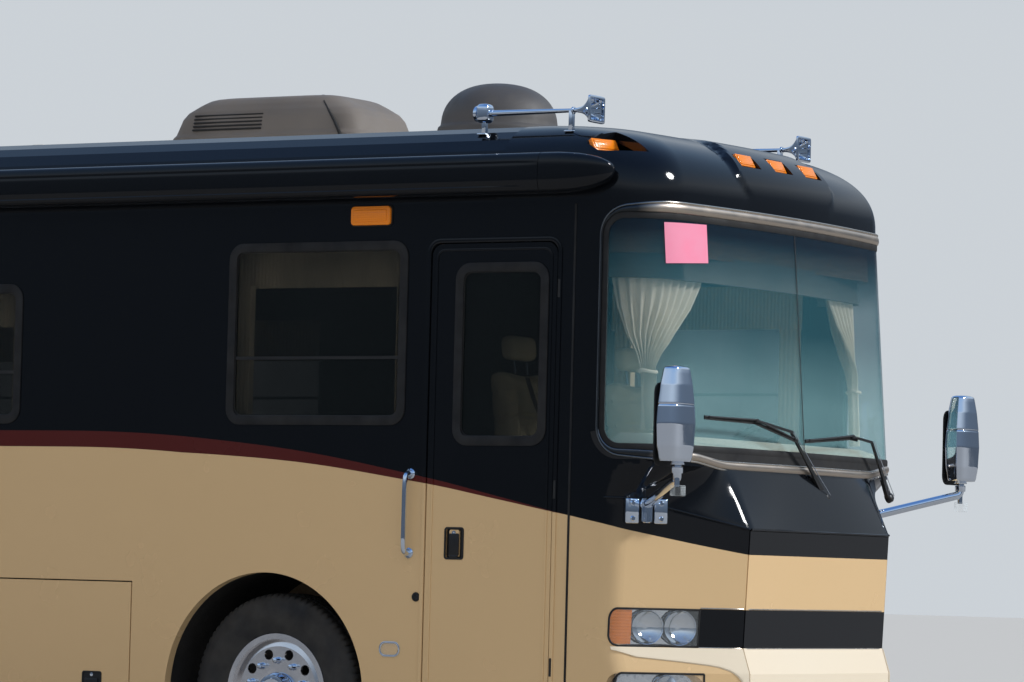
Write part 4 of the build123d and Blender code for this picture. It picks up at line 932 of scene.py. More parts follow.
def marker_parts(place_at):
    """A lamp's amber block with a raised rim, and the bezel under it."""
    lens = moved(new_plate(LAMP_WIDTH, LAMP_HEIGHT, 0.022, 0.006, 3, 0.003), put((0, 0.022, 0), (90, 0, 0)))
    face = moved(new_plate(LAMP_WIDTH - 0.022, LAMP_HEIGHT - 0.018, 0.006, 0.006, 3, 0.002),
                 put((0, 0.002, 0), (90, 0, 0)))
    base = moved(new_block((LAMP_WIDTH + 0.008, 0.06, LAMP_HEIGHT + 0.006), 0.004), put((0, 0.050, 0)))
    leaning = place_at @ put((0, 0, 0), (LAMP_LEAN, 0, 0))
    return moved(joined([lens, face]), leaning), moved(base, leaning)


marker_lenses, marker_bases = zip(*[marker_parts(place_at) for place_at in marker_places])
add_piece("marker_lamps", joined(marker_lenses), amber_lens, replaces=("amber_lamps",))
add_piece("marker_bases", joined(marker_bases), seal_rubber)
print("marker lamps:", len(marker_places))

# %% [markdown]
# The porch light is a long amber lens over the door, with a thin frame and fine ribs.

# %% Porch light
porch = moved(new_plate(0.242, 0.097, 0.018, 0.02, 5, 0.006), put((-1.282, -4.156, 2.9635), (90, 0, -90)))
ridge = moved(new_plate(0.20, 0.06, 0.004, 0.012, 4, 0.002), put((-1.2995, -4.156, 2.9635), (90, 0, -90)))
add_piece("porch_lens", joined([porch, ridge]), amber_lens)
rim = moved(new_plate(0.256, 0.110, 0.008, 0.024, 5, 0.003), put((-1.279, -4.156, 2.9635), (90, 0, -90)))
add_piece("porch_frame", rim, seal_rubber)
print("porch light ready")

# %% [markdown]
# The mirrors are tall chrome bullets. Their section is a soft square that swells and then tapers, so a
# sheet wrapped round a closed line of sections makes the shell, with a groove where the cap fits on.

# %% Mirror heads
MIRROR_X, MIRROR_Y, MIRROR_LOW, MIRROR_SEAM, MIRROR_TOP = 1.545, -6.12, 1.714, 1.990, 2.178
MIRROR_POWER = 2 / 3.2
# Share of the height, then half width and half depth there.
MIRROR_SECTIONS = (
    (0.00, 0.096, 0.052), (0.03, 0.101, 0.058), (0.16, 0.112, 0.066), (0.40, 0.118, 0.070),
    (0.594, 0.112, 0.066), (0.80, 0.098, 0.058), (0.93, 0.084, 0.049), (1.00, 0.076, 0.043),
)


def mirror_rule(u, v):
    """A section of the mirror shell: u goes round it and v up it."""
    height = MIRROR_TOP - MIRROR_LOW
    edge = 0.035
    if v < edge:
        close, share = sin(v / edge * pi / 2), 0.006 * (1 - cos(v / edge * pi / 2))
    elif v > 1 - edge:
        angle = (1 - v) / edge * pi / 2
        close, share = sin(angle) ** 0.6, 0.97 + 0.03 * cos(angle) ** 0.8
    else:
        close, share = 1, 0.006 + 0.964 * (v - edge) / (1 - 2 * edge)
    half_x = line_value([(a, b) for a, b, c in MIRROR_SECTIONS], share)
    half_y = line_value([(a, c) for a, b, c in MIRROR_SECTIONS], share)
    groove = 1 - 0.05 * max(0, 1 - abs(share * height + MIRROR_LOW - MIRROR_SEAM) / 0.004)
    x, y = soft_square(u, MIRROR_POWER)
    return Vector((half_x * x * close * groove, half_y * y * close * groove, share * height + MIRROR_LOW))


heads = moved(new_sheet(72, 90, mirror_rule), put((MIRROR_X, MIRROR_Y, 0)))
add_piece("mirror_shells", both(heads), chrome, replaces=("mirrors",), sharp=50)
glass = new_plate(0.178, 0.36, 0.004, 0.04, 6, 0.002)
rim = new_plate(0.196, 0.40, 0.008, 0.05, 6, 0.003)
back = put((MIRROR_X, MIRROR_Y + 0.064, 1.905), (90, 0, 180))
add_piece("mirror_rims", both(moved(rim, put((MIRROR_X, MIRROR_Y + 0.0605, 1.895), (90, 0, 180)))),
          seal_rubber)
add_piece("mirror_glass", both(moved(glass, back @ put((0, -0.005, 0.003)))), reflector)
print("mirror heads:", round(MIRROR_TOP - MIRROR_LOW, 3), "m tall")

# %% [markdown]
# Each mirror stands on a bent tube from a hinged bracket that is bolted to the facet. Two plates with a
# ribbed barrel between them make the hinge, and everything is turned by one matrix onto the facet.

# %% Mirror arms and brackets
FACET_OUT = Vector((sin(FACET_ANGLE), -cos(FACET_ANGLE), 0))
FACET_ALONG = Vector((cos(FACET_ANGLE), sin(FACET_ANGLE), 0))
BRACKET = Vector((1.166, CREASE_Y + (1.166 - FACET_X) * tan(FACET_ANGLE), 1.482))
facing = Matrix((FACET_ALONG, (0, 0, 1), -FACET_OUT)).transposed().to_4x4()
bracket_at = Matrix.Translation(BRACKET) @ facing
stub_x, stub_y = MIRROR_X - 0.018, MIRROR_Y - 0.004
knee = BRACKET + FACET_OUT * 0.040 + Vector((0, 0, 0.034))
arm_points = [knee, knee.lerp(Vector((stub_x, stub_y, 1.640)), 0.06),
              Vector((stub_x - 0.05, stub_y + 0.03, 1.630)),
              Vector((stub_x, stub_y, 1.642)), Vector((stub_x, stub_y, 1.70)),
              Vector((stub_x, stub_y, 1.722))]
arm = new_bar(arm_points, 0.021, 16, smooth=True, ends=(1.15, 0.95))
block = joined([moved(new_block((0.070, 0.124, 0.040), 0.008, 3), bracket_at @ put((x, 0, -0.020)))
                for x in (-0.074, 0.074)])
pad = moved(new_block((0.216, 0.112, 0.020), 0.004), bracket_at @ put((0, 0, -0.006)))
barrel = ((0, -0.058), (0.020, -0.058), (0.024, -0.054), (0.024, 0.050), (0.030, 0.054), (0.030, 0.062),
          (0, 0.064))
ribs = [moved(new_turned(barrel, 28), bracket_at @ put((0, 0, -0.036), (-90, 0, 0)))]
ribs += [moved(new_bar([(0.025 * cos(a), -0.050, 0.025 * sin(a)), (0.025 * cos(a), 0.046, 0.025 * sin(a))],
                       0.0032, 8),
               bracket_at @ put((0, 0, -0.036))) for a in [-pi * n / 8 for n in range(9)]]
bolts = [moved(new_turned(((0, 0.010), (0.009, 0.010), (0.013, 0.006), (0.014, 0)), 24),
               bracket_at @ put((x, z, -0.039), (180, 0, 0)))
         for x in (-0.074, 0.074) for z in (-0.038, 0.038)]
collar_outline = ((0, 0), (0.026, 0), (0.028, 0.004), (0.028, 0.030), (0.022, 0.034), (0, 0.034))
collar = moved(new_turned(collar_outline, 28), put((stub_x, stub_y, 1.660)))
flange = moved(new_turned(((0, 0), (0.034, 0), (0.036, 0.004), (0.030, 0.014), (0, 0.014)), 28),
               put((stub_x, stub_y, 1.702)))
socket_outline = ((0, 0), (0.034, 0), (0.036, 0.006), (0.036, 0.028), (0.030, 0.036), (0, 0.036))
socket = moved(new_turned(socket_outline, 28),
               facing_out(knee - FACET_OUT * 0.03, FACET_OUT))
lamp = moved(new_block((0.056, 0.058, 0.052), 0.005, 3), put((stub_x, stub_y - 0.006, 1.577)))
post = moved(new_turned(((0, 0), (0.013, 0), (0.013, 0.05), (0, 0.05)), 20), put((stub_x, stub_y, 1.595)))
ribs_lamp = [moved(new_block((0.046, 0.004, 0.0035), 0.001, 1),
                   put((stub_x, stub_y - 0.0355, 1.560 + 0.008 * n))) for n in range(5)]
add_piece("mirror_arms", both(joined([arm, block, collar, flange, socket, post, *ribs, *bolts])), chrome,
          sharp=40)
add_piece("mirror_pads", both(pad), seal_rubber)
add_piece("mirror_lamps", both(joined([lamp, *ribs_lamp])), clear_lens)
print("mirror arms ready")

# %% [markdown]
# A seal and a bronze moulding run all the way round the windshield. They could be drawn as curves
# with a bevel, but the surface bends under them, so a profile is swept along points that know which
# way the surface faces.


# %% Sweeps on the nose
def sweep(path, profile, width=None, shift=None):
    """Sweeps a profile of (across, out) along a path of (point, face); both may change on the way."""
    steps, last = len(path) - 1, len(profile) - 1

    def rule(u, v):
        at = round(u * steps)
        point, face = path[at]
        tangent = (path[min(at + 1, steps)][0] - path[max(at - 1, 0)][0]).normalized()
        across_way = face.cross(tangent).normalized()
        across, out = profile[round(v * last)]
        scale = width(at / steps) if width else 1
        offset = shift(at / steps) if shift else 0
        return point + across_way * (across * scale + offset) + face * out

    return new_sheet(steps, last, rule)


def corner_point(y, z):
    """A point on the rounded corner or the wall, found from y and z."""
    corner_x, corner_y = corner_centre(front_at(z))
    if y >= corner_y:
        return Vector((HALF_WIDTH, y, z)), Vector((1, 0, 0))
    turn = acos((corner_y - y) / CORNER_R)
    face = Vector((sin(turn), -cos(turn), 0))
    return Vector((corner_x, corner_y, z)) + face * CORNER_R, face


def face_y(x, z, out=0.0):
    """How far forward the upper nose is at x and z."""
    x, front = abs(x), front_at(z)
    corner_x, corner_y = corner_centre(front)
    big = GLASS_R + out
    if x < big * corner_x / (GLASS_R - CORNER_R):
        return front + GLASS_R - sqrt(big**2 - x**2)
    return corner_y - sqrt(max((CORNER_R + out) ** 2 - (x - corner_x) ** 2, 0))


def run_along(z, t_from, t_to, steps):
    """Points along the round line at one height."""
    points, front = [], front_at(z)
    for step in range(steps):
        flat, face = round_line(t_from + (t_to - t_from) * step / (steps - 1), front, CAP_JOINT_Y)
        points.append((Vector((*flat, z)), Vector((*face, 0))))
    return points


def screen_path():
    """The edge of the windshield from the top middle, round the side, to the bottom middle."""
    turn_y = SCREEN_BACK - SCREEN_R
    path = []
    for z, way in ((SCREEN_HIGH, 1), (SCREEN_LOW, -1)):
        corner_y = corner_centre(front_at(z))[1]
        t_turn = 1 + (pi / 2 - acos((corner_y - turn_y) / CORNER_R)) / (pi / 2 - CORNER_END)
        half = run_along(z, 4, t_turn, 44)
        for step in range(1, 11):
            angle = radians(9 * step)
            half.append(corner_point(turn_y + SCREEN_R * sin(angle), z - way * SCREEN_R * (1 - cos(angle))))
        if way == 1:
            for step in range(1, 12):
                z_at = SCREEN_HIGH - SCREEN_R - (SCREEN_HIGH - SCREEN_LOW - 2 * SCREEN_R) * step / 12
                half.append(corner_point(SCREEN_BACK, z_at))
            path = half
        else:
            path += half[::-1]
    return path


edge_path = screen_path()
side_start, side_end = 50 / len(edge_path), (len(edge_path) - 50) / len(edge_path)


def band_width(at):
    """Full width above and below the glass, a thin line down its side."""
    if at < 0.5:
        return 1 - 0.80 * smooth_step(at, side_start - 0.13, side_start + 0.02)
    return 0.20 + 0.62 * smooth_step(at, side_end - 0.02, side_end + 0.13)


def low_shift(at):
    """The lower moulding drops away from the glass towards the middle."""
    return 0.042 * smooth_step(at, 0.70, 0.90)


SEAL = ((-0.026, -0.010), (-0.026, 0.003), (-0.018, 0.006), (0.004, 0.006), (0.010, 0.003), (0.010, -0.010))
BAND_SECTION = (
    (0.006, -0.004), (0.007, 0.006), (0.014, 0.012), (0.026, 0.015), (0.040, 0.014), (0.052, 0.009),
    (0.056, 0.002), (0.056, -0.004),
)
seal = sweep(edge_path, SEAL)
apron = sweep(edge_path[66:], ((0.006, -0.006), (0.006, 0.005), (0.052, 0.005), (0.052, -0.006)))
band = sweep(edge_path, BAND_SECTION, band_width, low_shift)
outer_bead = sweep(edge_path,
                   [(0.060 + 0.0065 * cos(a * pi / 5), 0.004 + 0.0065 * sin(a * pi / 5))
                    for a in range(11)],
                   lambda at: 1, lambda at: low_shift(at) - 0.056 * (1 - band_width(at)))
inner_bead = sweep(edge_path[66:],
                   [(0.006 + 0.0055 * cos(a * pi / 5), 0.008 + 0.0055 * sin(a * pi / 5))
                    for a in range(11)],
                   None, lambda at: 0.042 * smooth_step(at, 0.12, 0.75))
add_piece("screen_seal", both(joined([seal, apron])), seal_rubber, sharp=60)
add_piece("screen_moulding", both(band), bronze, sharp=60)
add_piece("screen_beads", both(joined([outer_bead, inner_bead])), champagne, sharp=60)
print("windshield edge:", len(edge_path), "points on each side")

# %% [markdown]
# The glass is in two halves with a black joint down the middle, and a blank pink card hangs in the
# near corner. Both lie on the curved glass, so they are sheets that ask the nose how far forward it is.

# %% Glass joint and card
JOINT_WIDTH, JOINT_OUT = 0.008, 0.0015


def joint_rule(u, v):
    z = SCREEN_LOW + (SCREEN_HIGH - SCREEN_LOW) * v
    return Vector((JOINT_WIDTH * (u - 0.5), face_y(0, z, JOINT_OUT), z))


joint = new_sheet(2, 24, joint_rule)
bmesh.ops.solidify(joint, geom=joint.faces[:], thickness=0.003)
add_piece("screen_joint", joint, seal_rubber)

CARD_X, CARD_HIGH, CARD_LOW = (-1.137, -0.836), (2.911, 2.919), (2.708, 2.728)


def card_rule(u, v):
    x = CARD_X[0] + (CARD_X[1] - CARD_X[0]) * u
    low, high = (pair[0] + (pair[1] - pair[0]) * u for pair in (CARD_LOW, CARD_HIGH))
    z = low + (high - low) * v
    return Vector((x, face_y(x, z, 0.003), z))


card = new_sheet(14, 8, card_rule)
bmesh.ops.solidify(card, geom=card.faces[:], thickness=0.0012)
card_pink = new_finish("pink_card", (0.88, 0.24, 0.38), 0.55)
mottle(card_pink, (0.88, 0.24, 0.38), (0.84, 0.29, 0.43), 6.0)
relief(card_pink, noise(card_pink, 700.0, 2.0), 0.12, 0.0005)
add_piece("blank_card", card, card_pink)
print("card ready")

# %% [markdown]
# A horn is a thin square bell on a long tube, with a driver box behind it and two feet on the roof.
# The bell's mouth is open, so it is a square sheet that flares along its length and gets a wall.

# %% Roof horns
HORN_X, HORN_Y, HORN_Z, HORN_WIDTH, HORN_HEIGHT = 1.09, -5.326, 3.488, 0.150, 0.135


def horn_bell(u, v):
    """A square section that flares towards the mouth at v = 1."""
    flare = 0.13 + 0.87 * v**2.2
    x, z = soft_square(u, 2 / (2 + 8 * v))
    return Vector((HORN_X + x * HORN_WIDTH / 2 * flare, HORN_Y + 0.09 - 0.125 * v,
                   HORN_Z + z * HORN_HEIGHT / 2 * flare))


bell = new_sheet(48, 16, horn_bell)
bmesh.ops.remove_doubles(bell, verts=bell.verts, dist=0.0001)
thickened(bell, 0.003)
mouth = moved(new_plate(HORN_WIDTH, HORN_HEIGHT, 0.012, 0.012, 4, 0.003),
              put((HORN_X, HORN_Y - 0.028, HORN_Z), (90, 0, 0)))
hole = moved(new_block((HORN_WIDTH - 0.026, 0.1, HORN_HEIGHT - 0.026), 0.008),
             put((HORN_X, HORN_Y - 0.03, HORN_Z)))
tube = new_bar([(HORN_X, HORN_Y + 0.08, HORN_Z), (HORN_X, HORN_Y + 0.30, HORN_Z),
                (HORN_X, HORN_Y + 0.59, HORN_Z)], 0.013, 16,
               ends=(0.75, 1.25))
driver = moved(new_block((0.082, 0.074, 0.098), 0.024, 5), put((HORN_X, HORN_Y + 0.626, HORN_Z)))
driver_cap = moved(new_turned(((0, 0), (0.036, 0), (0.040, 0.004), (0.040, 0.014), (0.030, 0.020),
                               (0, 0.020)), 28),
                   put((HORN_X, HORN_Y + 0.660, HORN_Z), (-90, 0, 0)))
rings = [moved(new_turned(((0.012, -0.006), (0.019, -0.004), (0.019, 0.004), (0.012, 0.006)), 24),
               put((HORN_X, HORN_Y + y, HORN_Z), (90, 0, 0))) for y in (0.10, 0.58)]
feet = [moved(new_block((0.030, 0.022, 0.11), 0.004), put((HORN_X, HORN_Y + y, HORN_Z - 0.055)))
        for y in (0.11, 0.626)]
soles = [moved(new_block((0.070, 0.050, 0.008), 0.003), put((HORN_X, HORN_Y + y, HORN_Z - 0.106)))
         for y in (0.11, 0.626)]
horns = both(joined([bell, tube, driver, driver_cap, *rings, *feet, *soles]))
add_piece("roof_horns", horns, chrome, replaces=("air_horns",), sharp=40)
rim_piece = add_piece("horn_rims", mouth, chrome, sharp=40)
carve(rim_piece, [hole])
rim_mesh = bmesh.new()
rim_mesh.from_mesh(rim_piece.data)
both_rims = both(rim_mesh)
both_rims.to_mesh(rim_piece.data)
both_rims.free()
grille = [moved(new_block((HORN_WIDTH - 0.030, 0.003, 0.003)), put((HORN_X, HORN_Y - 0.030, HORN_Z + dz)))
          for dz in (-0.036, -0.012, 0.012, 0.036)]
add_piece("horn_slats", both(joined(grille)), chrome)
print("horns:", 2)

# %% [markdown]
# A wiper is an arm with a spring cover, a claw, and a blade of steel bows that press a thin rubber on
# the glass. The solids hold only rods, so the arm, bows and rubber are built here along the same line.

# %% Wipers
# Pivot, bend, clip, tip and heel of the blade, for each wiper.
WIPERS = (
    ((0.190, -6.024, 1.590), (-0.245, -6.052, 1.908), (-0.600, -6.040, 1.952), (-1.030, -5.990, 1.956),
     (-0.200, -6.064, 1.870)),
    ((1.025, -5.962, 1.610), (0.672, -6.034, 1.892), (0.410, -6.052, 1.912), (-0.120, -6.066, 1.872),
     (0.500, -6.044, 1.905)),
)


def flat_bar(start, end, wide_start, wide_end, thick):
    """A flat tapered bar that faces forward."""
    start, end = Vector(start), Vector(end)
    along = (end - start).normalized()
    across = along.cross(Vector((0, -1, 0))).normalized()

    def rule(u, v):
        width = wide_start + (wide_end - wide_start) * u
        return start.lerp(end, u) + across * width * (v - 0.5)

    return thickened(new_sheet(8, 2, rule), thick)


arms, edges, rubbers = [], [], []
for pivot, bend, clip, tip, heel in WIPERS:
    pivot, bend, clip, tip, heel = (Vector(place_at) for place_at in (pivot, bend, clip, tip, heel))
    back = Vector((0, 0.004, 0))
    cover = pivot.lerp(bend, 0.34)
    arms.append(moved(new_turned(((0, 0), (0.026, 0), (0.028, 0.006), (0.026, 0.026), (0.018, 0.034),
                                  (0, 0.036)), 28),
                      Matrix.Translation(pivot + Vector((0, 0.020, -0.004)))
                      @ Matrix.Rotation(radians(68), 4, "X")))
    arms.append(flat_bar(pivot, cover, 0.040, 0.026, 0.020))
    arms.append(flat_bar(cover, bend, 0.022, 0.014, 0.010))
    arms.append(flat_bar(bend, clip, 0.014, 0.012, 0.008))
    arms.append(moved(new_block((0.030, 0.020, 0.020), 0.005), Matrix.Translation(clip)))
    middle = tip.lerp(heel, 0.5)
    for near, far in ((clip, tip), (clip, heel)):
        reach = near.lerp(far, 0.55)
        arms.append(new_bar([near + Vector((0, -0.004, 0.004)), reach + Vector((0, -0.001, 0)), far + back],
                            0.0055, 8, True))
        for share in (0.30, 0.62, 0.92):
            arms.append(moved(new_block((0.014, 0.020, 0.012), 0.003),
                              Matrix.Translation(near.lerp(far, share) + back)))
        rubbers.append(flat_bar(near + Vector((0, 0.010, -0.010)), far + Vector((0, 0.008, -0.008)),
                                0.016, 0.014, 0.006))
    edges.append(new_bar([pivot + Vector((0.014, -0.016, 0.012)), cover + Vector((0.009, -0.012, 0.008)),
                          bend + Vector((0.004, -0.007, 0.005))], 0.0022, 8))
add_piece("wiper_arms", joined(arms), wiper_black, replaces=("wipers",), sharp=40)
add_piece("wiper_rubbers", joined(rubbers), seal_rubber)
add_piece("wiper_edges", joined(edges), chrome)
print("wipers:", len(WIPERS))

# %% [markdown]
# The grab handle is a chrome tube with a rounded hook at its foot, held by two round bases.

# %% Grab handle
RAIL_Y, RAIL_OUT = -4.43, -1.334
rail_line = [(-1.281, 1.650), (-1.318, 1.656), (RAIL_OUT, 1.62), (RAIL_OUT, 1.50), (RAIL_OUT, 1.38),
             (RAIL_OUT, 1.275), (-1.318, 1.246), (-1.281, 1.250)]
handle = new_bar([(x, RAIL_Y, z) for x, z in rail_line], 0.0135, 16, smooth=True)
bases = [moved(new_turned(((0, 0), (0.026, 0), (0.027, 0.004), (0.020, 0.010), (0, 0.010)), 28),
               put((-1.280, RAIL_Y, z), (0, -90, 0)))
         for z in (1.250, 1.650)]
add_piece("grab_rail", joined([handle, *bases]), chrome, replaces=("grab_handle",))
print("grab handle ready")

# %% [markdown]
# Flat fittings on the side walls all face straight out, so one matrix turns a plate drawn lying down
# into one on the wall. Windows and doors are edged with rings: a plate, inset once, with the middle
# taken out. A boolean would work too, but the inset keeps the faces even.


# %% Fittings on the side walls
def on_side(side, y, z, out=0.0):
    """A matrix that stands a flat part on a side wall, facing outwards."""
    turn = Matrix(((0, 0, side), (side, 0, 0), (0, 1, 0))).to_4x4()
    return Matrix.Translation((side * (HALF_WIDTH + out), y, z)) @ turn


def new_ring(width, height, band, depth, corner, segments=6, edge=0.0015):
    """A flat ring with rounded corners, rising from 0 to its depth in Z."""
    bm = bmesh.new()
    bmesh.ops.create_grid(bm, x_segments=1, y_segments=1, size=0.5)
    bmesh.ops.scale(bm, vec=(width, height, 1), verts=bm.verts)
    bmesh.ops.bevel(bm, geom=bm.verts[:], offset=corner, segments=segments, profile=0.5,
                    affect="VERTICES", material=-1)
    inner = bm.faces[:]
    bmesh.ops.inset_region(bm, faces=inner, thickness=band, use_boundary=True, use_even_offset=True)
    bmesh.ops.delete(bm, geom=inner, context="FACES")
    flat = bm.faces[:]
    top = bmesh.ops.extrude_face_region(bm, geom=flat)["geom"]
    top = [part for part in top if isinstance(part, bmesh.types.BMVert)]
    bmesh.ops.translate(bm, vec=(0, 0, depth), verts=top)
    bmesh.ops.recalc_face_normals(bm, faces=bm.faces)
    lifted = set(top)
    rim = [e for e in bm.edges if e.verts[0] in lifted and e.verts[1] in lifted and len(e.link_faces) == 2
           and abs(e.link_faces[0].normal.z - e.link_faces[1].normal.z) > 0.5]
    bmesh.ops.bevel(bm, geom=rim, offset=edge, segments=2, profile=0.5, affect="EDGES", material=-1)
    return bm


def span(low_high):
    """Middle and length of a pair of limits."""
    return (low_high[0] + low_high[1]) / 2, low_high[1] - low_high[0]


print("side fittings ready")

# %% [markdown]
# Every side window has a black outer frame, a thin bright inner line, a rail where the sash slides,
# and a cloth valance behind the glass. One table of openings serves all.

# %% Side windows
# Side, body, y limits and z limits.
WINDOWS = (
    (KERB, "coach", (-4.36, -3.30), (1.92, 2.81)), (KERB, "coach", (-1.90, -0.50), (1.92, 2.62)),
    (KERB, "coach", (0.70, 1.30), (1.92, 2.62)), (KERB, "coach", (3.60, 4.50), (1.92, 2.62)),
    (STREET, "coach", (-5.26, -4.18), (1.86, 2.72)), (STREET, "coach", (3.00, 3.90), (1.92, 2.62)),
    (STREET, "slide_room", (-2.30, -1.10), (1.92, 2.56)),
    (STREET, "slide_room", (-0.50, 0.70), (1.92, 2.56)),
    (KERB, "entry_door", (-5.20, -4.70), (1.82, 2.69)),
)
frames, rails = {}, {}
for side, body, y_limits, z_limits in WINDOWS:
    y, length = span(y_limits)
    z, height = span(z_limits)
    rim = moved(new_ring(length + 0.05, height + 0.05, 0.048, 0.009, 0.085, edge=0.003),
                on_side(side, y, z, -0.001))
    inner_rim = moved(new_ring(length - 0.040, height - 0.040, 0.006, 0.004, 0.050),
                      on_side(side, y, z, -0.005))
    frames.setdefault(body, []).append(rim)
    rails.setdefault(body, []).append(inner_rim)
    if body != "entry_door":
        rail_z = z_limits[0] + height * 0.36
        rails[body].append(moved(new_plate(length - 0.05, 0.016, 0.005, 0.002, 2),
                                 on_side(side, y, rail_z, -0.005)))
for body, parts in frames.items():
    add_piece(f"window_frames_{body}", joined(parts), seal_rubber, body=body)
for body, parts in rails.items():
    add_piece(f"window_rails_{body}", joined(parts), wiper_black, body=body)
print("window frames:", len(WINDOWS))

# %% [markdown]
# Inside each window hangs a board covered in pleated cloth, with a narrow one down each end, as such
# coaches have. The cloth is tight over its board, so each is one fluted sheet with its ends turned
# back to the wall, and no cloth has to fall.

# %% Window boards
WALL_INSIDE, BOARD_DEPTH, PLEAT = HALF_WIDTH - 0.052, 0.075, 0.045


def new_board(side, y_limits, z_limits, depth):
    """A board of pleated cloth on the inside of a wall, with its two ends turned back to it."""
    count = round((y_limits[1] - y_limits[0]) / PLEAT)
    width = y_limits[1] - y_limits[0]

    def rule(u, v):
        along = min(max((u - 0.04) / 0.92, 0), 1)
        reach = depth * min(1, u / 0.04, (1 - u) / 0.04) + 0.006 * sin(2 * pi * count * along) ** 2
        return Vector((side * (WALL_INSIDE - reach), y_limits[0] + width * along,
                       z_limits[0] + (z_limits[1] - z_limits[0]) * v))

    return thickened(new_sheet(count * 10, 3, rule), 0.004)


boards = {}
for side, body, (y_low, y_high), (z_low, z_high) in WINDOWS:
    if body != "entry_door":
        head_z = (z_high - 0.20, z_high + 0.035)
        head = new_board(side, (y_low - 0.04, y_high + 0.04), head_z, BOARD_DEPTH)
        boards.setdefault(body, []).append(head)
        for y_from in (y_low - 0.035, y_high - 0.075):
            end_z = (z_low - 0.03, z_high - 0.19)
            boards[body].append(new_board(side, (y_from, y_from + 0.11), end_z, 0.045))
for body, parts in boards.items():
    add_piece(f"window_boards_{body}", joined(parts), valance_cloth, body=body, sharp=60)

# %% [markdown]
# The entry door's edge shows as two thin frames, one on the wall and one that rides on the door. The
# handle is a paddle in a shallow tray with a lock above it.

# %% Entry door
DOOR_Y, DOOR_Z = (-5.27, -4.53), (0.43, 2.812)
door_y, door_length = span(DOOR_Y)
door_z, door_height = span(DOOR_Z)
surround = moved(new_ring(door_length + 0.056, door_height + 0.05, 0.022, 0.006, 0.075, edge=0.002),
                 on_side(KERB, door_y, door_z + 0.002))
add_piece("door_surround", surround, paint)
inner_frame = moved(new_ring(door_length - 0.05, door_height - 0.05, 0.012, 0.004, 0.05, edge=0.0015),
                    on_side(KERB, door_y, door_z))
add_piece("door_frame", inner_frame, paint, body="entry_door")
HANDLE_Y, HANDLE_Z = (-4.752, -4.648), (1.228, 1.379)
y, length = span(HANDLE_Y)
z, height = span(HANDLE_Z)
tray = moved(new_plate(length - 0.006, height - 0.006, 0.004, 0.010, 4), on_side(KERB, y, z, -0.016))
lip = moved(new_ring(length + 0.012, height + 0.012, 0.010, 0.004, 0.016), on_side(KERB, y, z))
paddle = moved(new_block((0.058, 0.112, 0.012), 0.005, 3), on_side(KERB, y, z - 0.006, -0.001))
finger = moved(new_block((0.050, 0.016, 0.010), 0.004, 2), on_side(KERB, y, z - 0.066, 0.001))
lock_outline = ((0, 0), (0.011, 0), (0.012, 0.002), (0.012, 0.006), (0.003, 0.007), (0, 0.006))
lock = moved(new_turned(lock_outline, 24),
             on_side(KERB, y + 0.002, z + 0.052, -0.004))
add_piece("door_handle", joined([tray, lip, paddle, finger]), wiper_black, body="entry_door")
add_piece("door_lock", lock, chrome, body="entry_door")
hinges = [moved(new_bar([(0, -0.045, 0), (0, 0.045, 0)], 0.008, 12), on_side(KERB, -5.285, z_at, 0.002))
          for z_at in (0.70, 1.58, 2.58)]
add_piece("door_hinges", joined(hinges), wiper_black)
print("door:", round(door_length, 2), "by", round(door_height, 2), "m")

# %% [markdown]
# Rubber strips close the joints between caps and walls, and a few small fittings sit on the kerb side:
# a round lock and a silver docking light.

# %% Joints and small fittings
strips = [moved(new_block((0.012, 2.62, 0.008), 0.002), on_side(side, CAP_JOINT_Y, 1.69, 0.0))
          for side in (KERB, STREET)]
add_piece("cap_joint_strips", joined(strips), seal_rubber)
round_lock = moved(new_turned(((0, 0), (0.022, 0), (0.024, 0.003), (0.022, 0.007), (0.012, 0.008),
                               (0.010, 0.005), (0, 0.005)), 28),
                   on_side(KERB, -4.48, 1.03, -0.001))
docking = moved(new_plate(0.105, 0.058, 0.014, 0.028, 7, 0.005), on_side(KERB, -4.33, 0.763, -0.001))
docking_rim = moved(new_ring(0.125, 0.078, 0.010, 0.007, 0.036, 7), on_side(KERB, -4.33, 0.763, -0.001))
add_piece("round_lock", round_lock, wiper_black)
add_piece("docking_lens", docking, clear_lens)
add_piece("docking_rim", docking_rim, chrome)
print("small fittings ready")

# %% [markdown]
# A storage door is a flush panel with a paddle latch near each lower corner and a thin bright strip
# along its foot. The same fittings ride on each of the six doors.

# %% Storage doors
BAY_SPANS = ((-2.695, -1.095), (-1.025, 0.575), (0.645, 2.245))
for side_name, side in SIDES.items():
    for number, limits in enumerate(BAY_SPANS, 1):
        body = f"bay_door_{side_name}_{number}"
        y, length = span(limits)
        latches, plates = [], []
        for y_at in (y - length / 2 + 0.24, y + length / 2 - 0.24):
            latches.append(moved(new_ring(0.128, 0.098, 0.009, 0.004, 0.014), on_side(side, y_at, 0.545)))
            latches.append(moved(new_plate(0.112, 0.082, 0.002, 0.008, 3),
                                 on_side(side, y_at, 0.545, -0.0005)))
            latches.append(moved(new_block((0.086, 0.040, 0.010), 0.004, 2),
                                 on_side(side, y_at, 0.537, 0.003)))
            plates.append(moved(new_turned(((0, 0), (0.009, 0), (0.010, 0.003), (0, 0.004)), 20),
                                on_side(side, y_at, 0.576, 0.001)))
        plates.append(moved(new_plate(length - 0.02, 0.020, 0.004, 0.003, 2, 0.001),
                            on_side(side, y, 0.437, -0.001)))
        add_piece(f"{body}_latches", joined(latches), wiper_black, body=body)
        add_piece(f"{body}_bright", joined(plates), chrome, body=body)
print("storage doors:", 2 * len(BAY_SPANS))

# %% [markdown]
# Below the crease the nose is flat in the middle and faceted at the sides. The lamps, seals and trims
# there sit on that surface, so it gets a rule of its own.


# %% The lower nose
BUMPER_HIGH, BUMPER_Y = 0.690, -6.118


